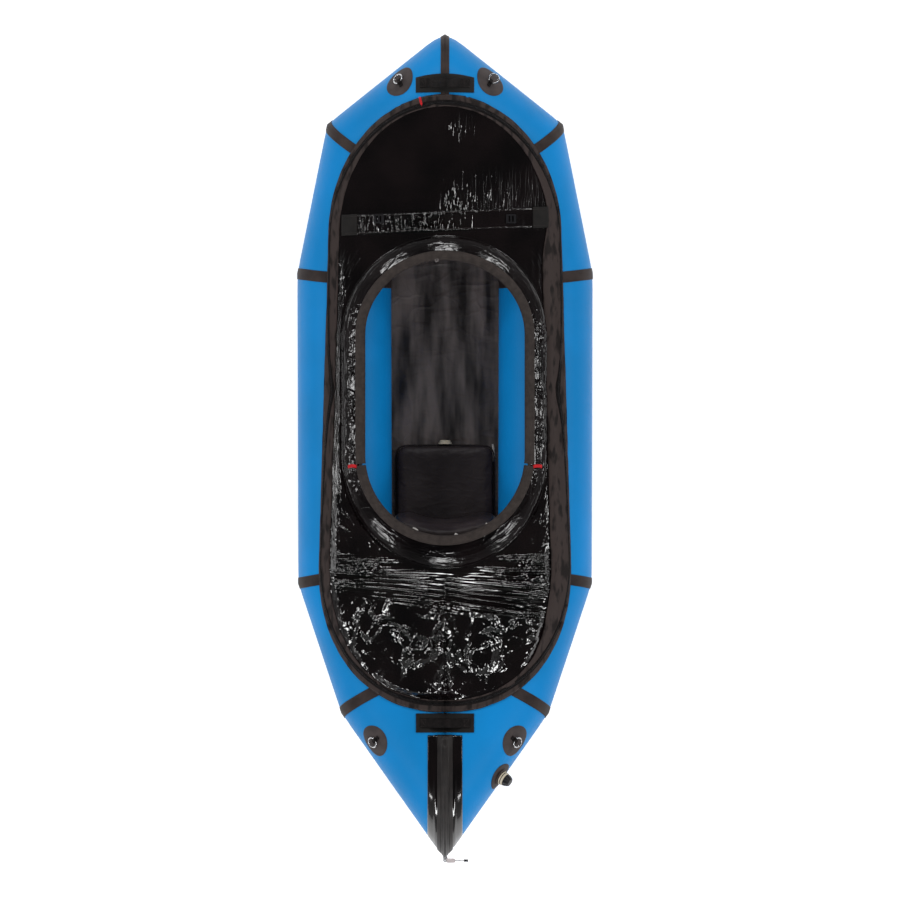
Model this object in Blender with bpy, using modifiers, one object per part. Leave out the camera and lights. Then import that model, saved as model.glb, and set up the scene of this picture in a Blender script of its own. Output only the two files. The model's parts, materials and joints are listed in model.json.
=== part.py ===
"""A one-person decked packraft: an inflated hull of mitred tube sections, its floor, the spray deck
with its coaming, the seat and backrest, and the handles, rings, zips and valves on them.

Lengths are in metres and angles in degrees. +Y is the bow, +X is starboard and +Z is up. The
origin is at the middle of the hull, at the height of the ground.
"""
import math

import bmesh
import bpy
from mathutils import Matrix, Vector
from mathutils.bvhtree import BVHTree

# The hull from above: the corners of its outline, each a half beam and a distance towards the bow
BOW_Y = 1.3742
SHOULDER_HALF_BEAM = 0.390
SHOULDER_Y = 1.070
FRONT_HALF_BEAM = 0.490
FRONT_Y = 0.575
REAR_HALF_BEAM = 0.487
REAR_Y = -0.455
QUARTER_HALF_BEAM = 0.343
QUARTER_Y = -0.886
STERN_Y = -1.368

# How far the tube's axis rises above its level stretch at each corner
BOW_RISE = 0.120
SHOULDER_RISE = 0.028
QUARTER_RISE = 0.018
STERN_RISE = 0.085

# The tube
TUBE_RADIUS = 0.155
TUBE_SIDES = 28
TUBE_FABRIC = 0.0012

# Running and resting clearances
GAP = 0.0003
WELD = 0.00001

# The tapes over the mitres
TAPE_FABRIC = 0.0006
TAPE_REACH = 0.019
TAPE_OPEN_SIDES = 3

# The floor
FLOOR_THICKNESS = 0.0015
FLOOR_LIP = 0.014

# The deck: where its edge lies on the tubes, and how its skin runs to the coaming
DECK_FABRIC = 0.0012
DECK_LIFT = 0.0028
DECK_BOW_SETBACK = 0.016
DECK_BOW_ARC = 0.462
DECK_BOW_OVERHANG = 0.051
DECK_STERN_SETBACK = 0.222
DECK_STERN_ARC = 0.480
DECK_STERN_OVERHANG = 0.086
DECK_SQUARE_SHARE = 1.1
DECK_ARC_STEPS = 16
DECK_SIDE_STEPS = 8
DECK_RING_STEPS = 6
DECK_STRING_POINTS = 40
FOLD_HEIGHT = 0.009
FOLD_SPACING = 0.160
FOLD_START_Y = -0.420
BAND_WIDTH = 0.040
BAND_FABRIC = 0.0010
BAND_SEAM = 0.0015

# The deck's zip, on the band
DECK_ZIP_RADIUS = 0.0022
DECK_ZIP_INSET = 0.028
DECK_ZIP_LIFT = 0.0012

# The coaming
COCKPIT_FRONT_Y = 0.630
COCKPIT_REAR_Y = -0.310
COCKPIT_SIDE_SET_IN = 0.052573
COCKPIT_FRONT_ARC = 0.262
COCKPIT_REAR_ARC = 0.283
COLLAR_FLARE_SIDE = 0.0585
COLLAR_FLARE_FRONT = 0.064
COLLAR_FLARE_REAR = 0.090
COLLAR_HEIGHT = 0.050
COLLAR_FRONT_RISE = 0.058
COLLAR_REAR_RISE = 0.018
COLLAR_SIDE_RISE = 0.004
COLLAR_FOOT = 0.008
COLLAR_FABRIC = 0.0012
COLLAR_LEAN_SHARE = 0.42
COLLAR_STEPS = 2
RIM_HALF_WIDTH = 0.0165
RIM_HALF_HEIGHT = 0.0075
RIM_FABRIC = 0.0010
RIM_SIDES = 8
RIM_FRONT_STEPS = 24
RIM_REAR_STEPS = 20
RIM_SPLIT_Y = -0.060
RIM_SPLIT_GAP = 0.016
ROD_RADIUS = 0.0050

# The cross band on the foredeck and its buckles
CROSS_BAND_Y = 0.752
CROSS_BAND_WIDTH = 0.058
CROSS_BAND_SET_IN = 0.050
CROSS_BAND_FABRIC = 0.0012
CROSS_BAND_LIFT = 0.0011
BUCKLE_SET_IN = 0.115
BUCKLE_LENGTH = 0.034
BUCKLE_WIDTH = 0.030
BUCKLE_THICKNESS = 0.0040
BUCKLE_BAR = 0.0050
BUCKLE_SLOT = 0.0065
BUCKLE_REST = 0.0006

# The handles
HANDLE_PATCH_HALF_LENGTH = 0.096
HANDLE_PATCH_WIDTH = 0.062
HANDLE_PATCH_FABRIC = 0.0014
HANDLE_PATCH_LIFT = 0.0014
BOW_HANDLE_OFFSET = 0.020
STERN_HANDLE_OFFSET = 0.187
HANDLE_HALF_LENGTH = 0.082
HANDLE_WIDTH = 0.030
HANDLE_WEBBING = 0.0022
HANDLE_ARCH = 0.030
HANDLE_SEWN = 0.022
HANDLE_LIFT = 0.0008

# The ring fittings
RING_PATCH_RADIUS = 0.054
RING_PATCH_FABRIC = 0.0012
PATCH_LIFT = 0.0009
RING_BOW_ALONG = 0.0735
RING_BOW_ANGLE = 55.3
RING_STERN_ALONG = 0.222
RING_STERN_ANGLE = 50.6
RING_RADIUS = 0.0165
RING_WIRE = 0.00225
LOOP_SETBACK = 0.010
LOOP_BORE = 0.0036
LOOP_WEBBING = 0.0014
LOOP_LENGTH = 0.013
LOOP_HEIGHT = 0.0046
LOOP_TAB = 0.013
RING_STAND = 57.0
RING_STEPS = 20

# The stern zip
ZIP_REACH = 0.100
ZIP_LIFT = 0.0013
ZIP_FABRIC = 0.0014
ZIP_INNER_ANGLE = -30.0
ZIP_TIP_ANGLE = 82.0
ZIP_STEPS = 14
CHAIN_REACH = 0.044
CHAIN_HEIGHT = 0.0032
STERN_TAPE_START_SIDES = 6

# The zips' sliders, each with a bail over it, and the pulls on them. A pull is a small loop of
# cord round the bail, a flat tab, and on the stern's a longer cord with a toggle.
STERN_SLIDER = {
    "width": 0.017, "length": 0.024, "thick": 0.0050, "bail": 0.0070, "stand": 0.0058, "wire": 0.0012,
}
STERN_SLIDER_ANGLE = 70.0
STERN_ARC_END_ANGLE = 40.0
STERN_PULL = {"loop": 0.0042, "cord": 0.0011, "tab": (0.030, 0.023, 0.0030), "corner": 0.005}
TOGGLE_X = 0.0695
TOGGLE_RADIUS = 0.0048
TOGGLE_LENGTH = 0.0135
DECK_SLIDER = {
    "width": 0.008, "length": 0.011, "thick": 0.0026, "bail": 0.0034, "stand": 0.0034, "wire": 0.0007,
}
DECK_SLIDER_STEPS = -3
DECK_PULL = {"loop": 0.0024, "cord": 0.0006, "tab": (0.026, 0.008, 0.0014), "corner": 0.002}
LOOP_STEPS = 12

# The inflation valve, turned about its axis
VALVE_ALONG = 0.103
VALVE_ANGLE = 70.0
VALVE_PATCH_RADIUS = 0.048
VALVE_FLANGE_RADIUS = 0.029
VALVE_FLANGE_HEIGHT = 0.0040
VALVE_NECK_RADIUS = 0.0240
VALVE_NECK_HEIGHT = 0.0075
VALVE_COLLAR_RADIUS = 0.0225
VALVE_COLLAR_HEIGHT = 0.0075
VALVE_BORE_RADIUS = 0.0140
VALVE_CAP_RADIUS = 0.0205
VALVE_CAP_TOP_RADIUS = 0.0150
VALVE_CAP_HEIGHT = 0.0200
VALVE_CAP_WALL = 0.0022
VALVE_LOBES = 8
VALVE_LOBE_DEPTH = 0.0022
VALVE_STEPS = 24
VALVE_WAIST_SHARE = 0.86
VALVE_CAP_ROUND_SHARE = 0.80

# The seat and the backrest
SEAT_LENGTH = 0.300
SEAT_WIDTH = 0.336
SEAT_HEIGHT = 0.082
SEAT_FRONT_Y = 0.008
SEAT_ROUND_SHARE = 0.42
SEAT_FLAT_SHARE = 0.80
SEAT_VALVE_RADIUS = 0.0220
SEAT_VALVE_DEPTH = 0.0060
SEAT_CAP_DEPTH = 0.0070
SEAT_CAP_RADIUS = 0.0185
SEAT_CAP_ROUND_SHARE = 0.8
SEAT_VALVE_BORE = 0.0080
BACKREST_HALF_WIDTH = 0.166
BACKREST_THICKNESS = 0.060
BACKREST_HEIGHT = 0.240
BACKREST_CURVE = 0.050
BACKREST_Y = -0.262
BACKREST_LEAN = 8.0
BACKREST_ROUND_SHARE = 0.55
BACKREST_FOOT_CUT = 0.016
BACKREST_FOOT_HEIGHT = 0.040
BACKREST_SET_IN = 0.0006


class Part:
    """The collections that the pieces and their cutters go in, and the pieces' materials."""

    def __init__(self):
        for old in list(bpy.data.objects):
            bpy.data.objects.remove(old)
        self.pieces = bpy.data.collections.new("packraft")
        self.cutters = bpy.data.collections.new("cutters")
        self.cutters.hide_render = True
        for collection in (self.pieces, self.cutters):
            bpy.context.scene.collection.children.link(collection)
        self.materials = {}

    def material(self, name, colour=None, roughness=0.6, metallic=0.0):
        """Makes a Principled material the first time that its name is used."""
        if name not in self.materials:
            made = bpy.data.materials.new(name)
            made.use_nodes = True
            surface = made.node_tree.nodes["Principled BSDF"]
            surface.inputs["Base Color"].default_value = (*colour, 1.0)
            surface.inputs["Roughness"].default_value = roughness
            surface.inputs["Metallic"].default_value = metallic
            self.materials[name] = made
        return self.materials[name]

    def add(self, name, shape, material, frame=None):
        """Turns a bmesh into an object. A frame sets where its origin and axes are."""
        mesh = bpy.data.meshes.new(name)
        shape.to_mesh(mesh)
        shape.free()
        made = bpy.data.objects.new(name, mesh)
        made.data.materials.append(self.material(material))
        if frame is not None:
            made.matrix_world = frame
        self.pieces.objects.link(made)
        mesh.shade_smooth()
        mesh.set_sharp_from_angle(angle=math.radians(35))
        return made


part = Part()


def make_materials():
    """The photo's colours, as linear values."""
    part.material("blue_fabric", (0.013, 0.205, 0.497), 0.42)
    part.material("seam_tape", (0.036, 0.024, 0.021), 0.62)
    part.material("band_fabric", (0.042, 0.032, 0.032), 0.75)
    part.material("deck_fabric", (0.004, 0.003, 0.004), 0.12)
    part.material("floor_fabric", (0.020, 0.017, 0.017), 0.45)
    part.material("rim_fabric", (0.014, 0.012, 0.012), 0.80)
    part.material("webbing", (0.010, 0.009, 0.009), 0.85)
    part.material("steel", (0.62, 0.62, 0.64), 0.22, 1.0)
    part.material("zip_rubber", (0.022, 0.021, 0.022), 0.50)
    part.material("grey_plastic", (0.13, 0.13, 0.135), 0.45)
    part.material("black_plastic", (0.008, 0.008, 0.008), 0.40)
    part.material("ivory_plastic", (0.56, 0.50, 0.40), 0.45)
    part.material("rubber", (0.030, 0.026, 0.024), 0.70)
    part.material("red_webbing", (0.50, 0.012, 0.010), 0.70)
    part.material("seat_fabric", (0.009, 0.007, 0.008), 0.50)
    part.material("rod_plastic", (0.030, 0.030, 0.032), 0.50)


def solidify(obj, thickness, offset):
    """Gives an open sheet its thickness: offset 1 grows it along its normals, and -1 against them."""
    thick = obj.modifiers.new("thickness", "SOLIDIFY")
    thick.thickness = thickness
    thick.offset = offset
    thick.use_even_offset = True


def mapped_sheet(columns, rows, place, wrap=False):
    """A grid of faces whose vertices are moved to place(u, v), with u and v from 0 to 1."""
    shape = bmesh.new()
    bmesh.ops.create_grid(shape, x_segments=columns, y_segments=rows, size=1.0)
    for vertex in shape.verts:
        vertex.co = place((vertex.co.x + 1.0) / 2.0, (vertex.co.y + 1.0) / 2.0)
    if wrap:
        bmesh.ops.remove_doubles(shape, verts=shape.verts, dist=WELD)
    return shape


def mirrored(shape):
    """The same shape on the port side."""
    for vertex in shape.verts:
        vertex.co.x = -vertex.co.x
    bmesh.ops.reverse_faces(shape, faces=shape.faces)
    return shape


def turned(profile, steps):
    """A solid of revolution about Z through (radius, height) points, listed from its lower
    end on the axis, or round a bore, back to the start."""
    mesh = bpy.data.meshes.new("profile")
    closed = profile[0][0] > 0
    edges = [(i, i + 1) for i in range(len(profile) - 1)]
    if closed:
        edges.append((len(profile) - 1, 0))
    mesh.from_pydata([(radius, 0, height) for radius, height in profile], edges, [])
    holder = bpy.data.objects.new("profile", mesh)
    part.cutters.objects.link(holder)
    screw = holder.modifiers.new("turn", "SCREW")
    screw.steps = steps
    screw.render_steps = steps
    screw.use_merge_vertices = True
    screw.merge_threshold = WELD
    screw.use_smooth_shade = True
    shape = evaluated(holder)
    bmesh.ops.remove_doubles(shape, verts=shape.verts, dist=WELD)
    bmesh.ops.recalc_face_normals(shape, faces=shape.faces)
    return shape


def evaluated(holder):
    """A bmesh of an object with its modifiers applied. The object is then removed."""
    bpy.context.view_layer.update()
    graph = bpy.context.evaluated_depsgraph_get()
    mesh = bpy.data.meshes.new_from_object(holder.evaluated_get(graph))
    shape = bmesh.new()
    shape.from_mesh(mesh)
    shape.transform(holder.matrix_world)
    bpy.data.meshes.remove(mesh)
    data = holder.data
    bpy.data.objects.remove(holder)
    if isinstance(data, bpy.types.Curve):
        bpy.data.curves.remove(data)
    else:
        bpy.data.meshes.remove(data)
    return shape


def wire(points, radius, cyclic=False, resolution=2):
    """A round wire through the points."""
    curve = bpy.data.curves.new("wire", "CURVE")
    curve.dimensions = "3D"
    curve.bevel_depth = radius
    curve.bevel_resolution = resolution
    curve.use_fill_caps = True
    spline = curve.splines.new("POLY")
    spline.points.add(len(points) - 1)
    for target, point in zip(spline.points, points):
        target.co = (*point, 1.0)
    spline.use_cyclic_u = cyclic
    holder = bpy.data.objects.new("wire", curve)
    part.cutters.objects.link(holder)
    shape = evaluated(holder)
    bmesh.ops.remove_doubles(shape, verts=shape.verts, dist=WELD)
    bmesh.ops.recalc_face_normals(shape, faces=shape.faces)
    return shape


def plate(outlines, thickness):
    """A flat plate in XY, centred on Z = 0. Outlines after the first are holes in it."""
    curve = bpy.data.curves.new("plate", "CURVE")
    curve.dimensions = "2D"
    curve.fill_mode = "BOTH"
    curve.extrude = thickness / 2
    for outline in outlines:
        spline = curve.splines.new("POLY")
        spline.points.add(len(outline) - 1)
        for target, (x, y) in zip(spline.points, outline):
            target.co = (x, y, 0, 1.0)
        spline.use_cyclic_u = True
    holder = bpy.data.objects.new("plate", curve)
    part.cutters.objects.link(holder)
    shape = evaluated(holder)
    bmesh.ops.remove_doubles(shape, verts=shape.verts, dist=WELD)
    bmesh.ops.recalc_face_normals(shape, faces=shape.faces)
    return shape


def rounded_rectangle(half_x, half_y, corner, steps=3):
    """The outline of a rectangle with round corners."""
    points = []
    for quarter in range(4):
        turn = math.radians(90 * quarter)
        sign_x = (1, -1, -1, 1)[quarter]
        sign_y = (1, 1, -1, -1)[quarter]
        for step in range(steps + 1):
            angle = turn + math.radians(90) * step / steps
            x = sign_x * (half_x - corner) + corner * math.cos(angle)
            y = sign_y * (half_y - corner) + corner * math.sin(angle)
            points.append((x, y))
    return points


def inset_corner(before, corner, after, distance):
    """Moves a corner of the starboard outline inboard by the distance from both of its edges."""
    first = (corner - before).normalized()
    second = (after - corner).normalized()
    normals = Vector((first.y, -first.x)), Vector((second.y, -second.x))
    return corner + (normals[0] + normals[1]) * distance / (1 + normals[0].dot(normals[1]))


class Hull:
    """The axis of the starboard tube, from the bow to the stern, with its mitre planes. Each
    section has three axes: up over its crest, outboard, and along it towards the stern."""

    names = ("bow", "shoulder", "side", "quarter", "stern")

    def __init__(self):
        outline = [
            Vector((0, BOW_Y)),
            Vector((SHOULDER_HALF_BEAM, SHOULDER_Y)),
            Vector((FRONT_HALF_BEAM, FRONT_Y)),
            Vector((REAR_HALF_BEAM, REAR_Y)),
            Vector((QUARTER_HALF_BEAM, QUARTER_Y)),
            Vector((0, STERN_Y)),
        ]
        rises = (BOW_RISE, SHOULDER_RISE, 0, 0, QUARTER_RISE, STERN_RISE)
        level = FLOOR_THICKNESS + GAP + TUBE_RADIUS
        before_bow = Vector((-outline[1].x, outline[1].y))
        after_stern = Vector((-outline[-2].x, outline[-2].y))
        line = [before_bow] + outline + [after_stern]
        self.nodes = []
        for index, rise in enumerate(rises):
            spot = inset_corner(*line[index:index + 3], TUBE_RADIUS)
            self.nodes.append(Vector((spot.x, spot.y, level + rise)))
        self.along = [(b - a).normalized() for a, b in zip(self.nodes, self.nodes[1:])]
        across = Vector((1, 0, 0))
        inner = [(a + b).normalized() for a, b in zip(self.along, self.along[1:])]
        self.mitres = [across] + inner + [-across]
        self.up = [None] * len(self.along)
        self.up[2] = Vector((0, 0, 1))
        for section in (1, 0):
            mitre = self.mitres[section + 1]
            above = self.up[section + 1]
            self.up[section] = above - 2 * above.dot(mitre) * mitre
        for section in (3, 4):
            mitre = self.mitres[section]
            above = self.up[section - 1]
            self.up[section] = above - 2 * above.dot(mitre) * mitre
        self.outboard = [up.cross(along) for up, along in zip(self.up, self.along)]
        self.corner_radius = TUBE_RADIUS / math.cos(math.pi / TUBE_SIDES)

    def mitre_point(self, node, side, lift, slide=0.0):
        """A corner of the tube's section on the mitre at a node, counted in sides from the crest
        and lifted off the skin. It can slide along the tube, towards the stern when positive."""
        angle = (side + 0.5) * 2 * math.pi / TUBE_SIDES
        section = min(node, len(self.along) - 1)
        along, mitre = self.along[section], self.mitres[node]
        radius = (TUBE_RADIUS + lift) / math.cos(math.pi / TUBE_SIDES)
        spoke = radius * (math.cos(angle) * self.up[section] + math.sin(angle) * self.outboard[section])
        point = self.nodes[node] + spoke - along * (spoke.dot(mitre) / along.dot(mitre))
        return point + self.along[min(max(node - (slide < 0), 0), len(self.along) - 1)] * slide

    def skin_frame(self, section, side, along, angle, lift):
        """A frame on the round of a tube: X along it, Y down its outboard flank, Z out of it. A
        negative distance along the section is counted back from its end."""
        turn = math.radians(angle)
        up, out = self.up[section], self.outboard[section]
        normal = math.cos(turn) * up + math.sin(turn) * out
        flank = math.cos(turn) * out - math.sin(turn) * up
        start = self.nodes[section if along > 0 else section + 1] + self.along[section] * along
        spot = start + normal * (self.corner_radius + lift)
        axis = self.along[section].copy()
        if side < 0:
            for vector in (normal, flank, spot, axis):
                vector.x = -vector.x
            axis = -axis
        frame = Matrix((axis, flank, normal)).transposed().to_4x4()
        frame.translation = spot
        return frame

    def height(self, x, y, lift):
        """The height of the tubes' round above a point of the plan, or None beside them."""
        x = abs(x)
        flat = Vector((x, y, 0))
        for section, along in enumerate(self.along):
            start, end = self.nodes[section], self.nodes[section + 1]
            apart = flat - Vector((start.x, start.y, 0))
            axis = along - Vector((0, 0, 1)) * along.z
            rising = Vector((0, 0, 1)) - along * along.z
            level = apart - along * apart.dot(along)
            a = rising.dot(rising)
            b = level.dot(rising)
            c = level.dot(level) - (self.corner_radius + lift) ** 2
            if b * b - a * c < 0:
                continue
            z = start.z + (-b + math.sqrt(b * b - a * c)) / a
            spot = Vector((x, y, z))
            after = (spot - start).dot(self.mitres[section]) >= 0
            before = (spot - end).dot(self.mitres[section + 1]) <= 0
            if after and before and axis.length > 0:
                return z
        return None


hull = Hull()


def tube_sections():
    """Ten straight sleeves with mitred ends: each an outer and an inner wall between two mitres."""
    for section, name in enumerate(hull.names):
        def place(u, v):
            row = round(v * 4) % 4
            at_end = row in (1, 2)
            node = section + at_end
            slide = GAP / 2 / abs(hull.along[section].dot(hull.mitres[node]))
            lift = -TUBE_FABRIC if row > 1 else 0
            return hull.mitre_point(node, u * TUBE_SIDES, lift, -slide if at_end else slide)
        for side in ("starboard", "port"):
            shape = mapped_sheet(TUBE_SIDES, 4, place, wrap=True)
            if side == "port":
                mirrored(shape)
            bmesh.ops.recalc_face_normals(shape, faces=shape.faces)
            part.add(f"tube_{name}_{side}", shape, "blue_fabric")


def tape_sheet(node, first_side, last_side, reach, lift, columns=2):
    """A strip over a mitre, from one corner of the tube's section to another. At the bow and the
    stern, where the mitre is on the centreline, its port half mirrors its starboard half."""
    on_centreline = node in (0, len(hull.along))

    def place(u, v):
        side = first_side + (last_side - first_side) * v
        slide = reach * (2 * u - 1)
        if not on_centreline:
            return hull.mitre_point(node, side, lift, slide)
        inboard = abs(slide) if node == 0 else -abs(slide)
        spot = hull.mitre_point(node, side, lift, inboard)
        starboard = slide > 0 if node == 0 else slide < 0
        spot.x = abs(spot.x) if starboard else -abs(spot.x)
        return spot
    return mapped_sheet(columns, last_side - first_side, place)


def seam_tapes():
    """The tapes over the mitres. They leave the bottom of the tube to the floor."""
    last = TUBE_SIDES // 2 - 1 - TAPE_OPEN_SIDES // 2
    first = -1 - last
    names = {1: "shoulder", 2: "front", 3: "rear", 4: "quarter"}
    for node, name in names.items():
        for side in ("starboard", "port"):
            shape = tape_sheet(node, first, last, TAPE_REACH, GAP)
            if side == "port":
                mirrored(shape)
            solidify(part.add(f"{name}_seam_tape_{side}", shape, "seam_tape"), TAPE_FABRIC, 1)
    bow = part.add("bow_seam_tape", tape_sheet(0, first, last, TAPE_REACH, GAP), "seam_tape")
    solidify(bow, TAPE_FABRIC, 1)
    lower = tape_sheet(len(hull.along), STERN_TAPE_START_SIDES, last, TAPE_REACH, GAP)
    solidify(part.add("stern_seam_tape", lower, "seam_tape"), TAPE_FABRIC, 1)


def floor_profile():
    """The floor's creases: each a half width, a distance towards the bow and a height. Under
    each section the floor is a plane that touches both tubes."""
    across = Vector((1, 0, 0))
    planes = []
    for section, along in enumerate(hull.along):
        normal = across.cross(along).normalized()
        if normal.z < 0:
            normal = -normal
        radius = TUBE_RADIUS if section == 2 else hull.corner_radius
        touch = hull.nodes[section] - normal * (radius + GAP)
        planes.append((touch, along))
    creases = []
    for node in range(len(hull.nodes)):
        if node in (0, len(hull.along)):
            touch, along = planes[min(node, len(planes) - 1)]
            spot = touch - along * (touch.x / along.x)
            creases.append(Vector((FLOOR_LIP, spot.y, spot.z)))
            continue
        (a, first), (b, second) = planes[node - 1], planes[node]
        turn = first.y * second.z - first.z * second.y
        reach = ((b.y - a.y) * second.z - (b.z - a.z) * second.y) / turn
        spot = a + first * reach
        creases.append(Vector((spot.x + FLOOR_LIP, spot.y, spot.z)))
    return creases


def floor_panel():
    """One sheet from bow to stern, folded up under the rising ends of the tubes."""
    creases = floor_profile()

    def place(u, v):
        crease = creases[round(v * (len(creases) - 1))]
        return Vector((crease.x * (2 * u - 1), crease.y, crease.z))
    shape = mapped_sheet(2, len(creases) - 1, place)
    bmesh.ops.reverse_faces(shape, faces=shape.faces)
    solidify(part.add("floor_panel", shape, "floor_fabric"), FLOOR_THICKNESS, -1)


def oval(turn, front_y, rear_y, front_arc, rear_arc, front_half, rear_half, rear_power=2.0):
    """A point of an egg shape seen from above, with straight sides between two curved ends. The
    turn runs clockwise from the bow, from 0 to 1."""
    steps = 2 * DECK_ARC_STEPS + DECK_SIDE_STEPS
    port = turn > 0.5
    spot = (1 - turn if port else turn) * 2 * steps
    side_start, side_end = front_y - front_arc, rear_y + rear_arc
    if spot <= DECK_ARC_STEPS:
        angle = math.radians(90) * spot / DECK_ARC_STEPS
        x = front_half * math.sin(angle)
        y = side_start + front_arc * math.cos(angle)
    elif spot <= DECK_ARC_STEPS + DECK_SIDE_STEPS:
        share = (spot - DECK_ARC_STEPS) / DECK_SIDE_STEPS
        x = front_half + (rear_half - front_half) * share
        y = side_start + (side_end - side_start) * share
    else:
        angle = math.radians(90) * (steps - spot) / DECK_ARC_STEPS
        power = 2.0 / rear_power
        x = rear_half * math.sin(angle) ** power if angle > 0 else 0
        y = side_end - rear_arc * max(math.cos(angle), 0) ** power
    return Vector((-x if port else x, y, 0))


def deck_edge(turn):
    """The edge of the deck, seen from above."""
    front, rear = hull.nodes[2], hull.nodes[3]
    return oval(
        turn, hull.nodes[0].y - DECK_BOW_SETBACK, hull.nodes[-1].y + DECK_STERN_SETBACK,
        DECK_BOW_ARC, DECK_STERN_ARC, front.x + DECK_BOW_OVERHANG, rear.x + DECK_STERN_OVERHANG,
        2 * DECK_SQUARE_SHARE,
    )


def cockpit_half_width():
    """Half the coaming's width, set in from the crests of the side tubes."""
    return min(hull.nodes[2].x, hull.nodes[3].x) - COCKPIT_SIDE_SET_IN


def rim_line(turn):
    """The middle of the coaming's rim, seen from above."""
    half = cockpit_half_width()
    return oval(turn, COCKPIT_FRONT_Y, COCKPIT_REAR_Y, COCKPIT_FRONT_ARC, COCKPIT_REAR_ARC, half, half)


def collar_line(turn, inset=0.0):
    """The foot of the collar on the deck, seen from above, or a line inside it."""
    flare_front, flare_rear = COLLAR_FLARE_FRONT - inset, COLLAR_FLARE_REAR - inset
    half = cockpit_half_width() + COLLAR_FLARE_SIDE - inset
    return oval(
        turn, COCKPIT_FRONT_Y + flare_front, COCKPIT_REAR_Y - flare_rear,
        COCKPIT_FRONT_ARC + flare_front, COCKPIT_REAR_ARC + flare_rear, half, half,
    )


def collar_height(turn):
    """The height of the deck's underside at the collar's foot. It rises towards the bow and the stern."""
    spot = collar_line(turn)
    front_start, rear_start = COCKPIT_FRONT_Y - COCKPIT_FRONT_ARC, COCKPIT_REAR_Y + COCKPIT_REAR_ARC
    towards_bow = max(spot.y - front_start, 0) / (COCKPIT_FRONT_ARC + COLLAR_FLARE_FRONT)
    towards_stern = max(rear_start - spot.y, 0) / (COCKPIT_REAR_ARC + COLLAR_FLARE_REAR)
    rest = hull.nodes[2].z + hull.corner_radius + DECK_LIFT + COLLAR_SIDE_RISE
    return rest + COLLAR_FRONT_RISE * towards_bow ** 2 + COLLAR_REAR_RISE * towards_stern ** 2


def taut_line(outer, inner, inner_height):
    """The heights of a cord pulled tight over the tubes, from a point of the deck's edge to the
    collar: the upper hull of the tubes' round along that line. It returns a function of the share
    of the way from the edge to the collar."""
    points = []
    for step in range(DECK_STRING_POINTS + 1):
        share = step / DECK_STRING_POINTS
        spot = outer.lerp(inner, share)
        height = hull.height(spot.x, spot.y, DECK_LIFT)
        if step == DECK_STRING_POINTS:
            height = inner_height
        if height is None:
            continue
        while len(points) > 1:
            (a, low), (b, high) = points[-2:]
            if (high - low) * (share - a) > (height - low) * (b - a):
                break
            points.pop()
        points.append((share, height))

    def height_at(share):
        for (a, low), (b, high) in zip(points, points[1:]):
            if share <= b:
                return low + (high - low) * (share - a) / (b - a)
        return points[-1][1]
    return height_at


def fold(spot, share):
    """How far the slack cloth behind the coaming stands up in folds across the deck."""
    if spot.y > FOLD_START_Y:
        return 0.0
    behind = FOLD_START_Y - spot.y
    wave = (1 - math.cos(2 * math.pi * behind / FOLD_SPACING)) / 2
    return FOLD_HEIGHT * wave * math.sin(math.pi * min(max(share, 0), 1)) ** 0.5


class DeckLine:
    """A line across the deck, from its edge to the collar's foot, as a tight cord would lie."""

    def __init__(self, turn):
        self.outer = deck_edge(turn)
        self.inner = collar_line(turn, -COLLAR_FOOT)
        self.length = (self.inner - self.outer).length
        self.height_at = taut_line(self.outer, self.inner, collar_height(turn))

    def spot(self, distance, lift=0.0):
        """The point at a distance from the deck's edge."""
        share = min(distance / self.length, 1.0)
        point = self.outer.lerp(self.inner, share)
        point.z = self.height_at(share) + lift
        return point


DECK_COLUMNS = 2 * (2 * DECK_ARC_STEPS + DECK_SIDE_STEPS)
deck_lines = [DeckLine(column % DECK_COLUMNS / DECK_COLUMNS) for column in range(DECK_COLUMNS + 1)]


def deck_skin():
    """The coated skin: taut over the tubes and up to the collar's foot, with a flat margin there."""
    edge = BAND_WIDTH + BAND_SEAM

    def place(u, v):
        column, ring = round(u * DECK_COLUMNS), round(v * (DECK_RING_STEPS + 1))
        line = deck_lines[column]
        if ring > DECK_RING_STEPS:
            turn = column % DECK_COLUMNS / DECK_COLUMNS
            foot = collar_line(turn, COLLAR_FOOT)
            foot.z = collar_height(turn)
            return foot
        share = ring / DECK_RING_STEPS
        spot = line.spot(edge + (line.length - edge) * share)
        spot.z += fold(spot, share)
        return spot
    shape = mapped_sheet(DECK_COLUMNS, DECK_RING_STEPS + 1, place, wrap=True)
    deck = part.add("deck_skin", shape, "deck_fabric")
    face_up(deck)
    solidify(deck, DECK_FABRIC, 1)
    return deck


def face_up(obj):
    """Turns an open sheet's faces over if they look down."""
    shape = bmesh.new()
    shape.from_mesh(obj.data)
    if sum(face.normal.z * face.calc_area() for face in shape.faces) < 0:
        bmesh.ops.reverse_faces(shape, faces=shape.faces)
        shape.to_mesh(obj.data)
    shape.free()


def deck_edge_band():
    """The matte band round the deck, lying on the tubes."""
    def place(u, v):
        return deck_lines[round(u * DECK_COLUMNS)].spot(BAND_WIDTH * v)
    band = part.add("deck_edge_band", mapped_sheet(DECK_COLUMNS, 2, place, wrap=True), "band_fabric")
    face_up(band)
    solidify(band, BAND_FABRIC, 1)


def rim_height(turn):
    """The height of the middle of the coaming's rim."""
    return collar_height(turn) + DECK_FABRIC + COLLAR_HEIGHT


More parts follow.
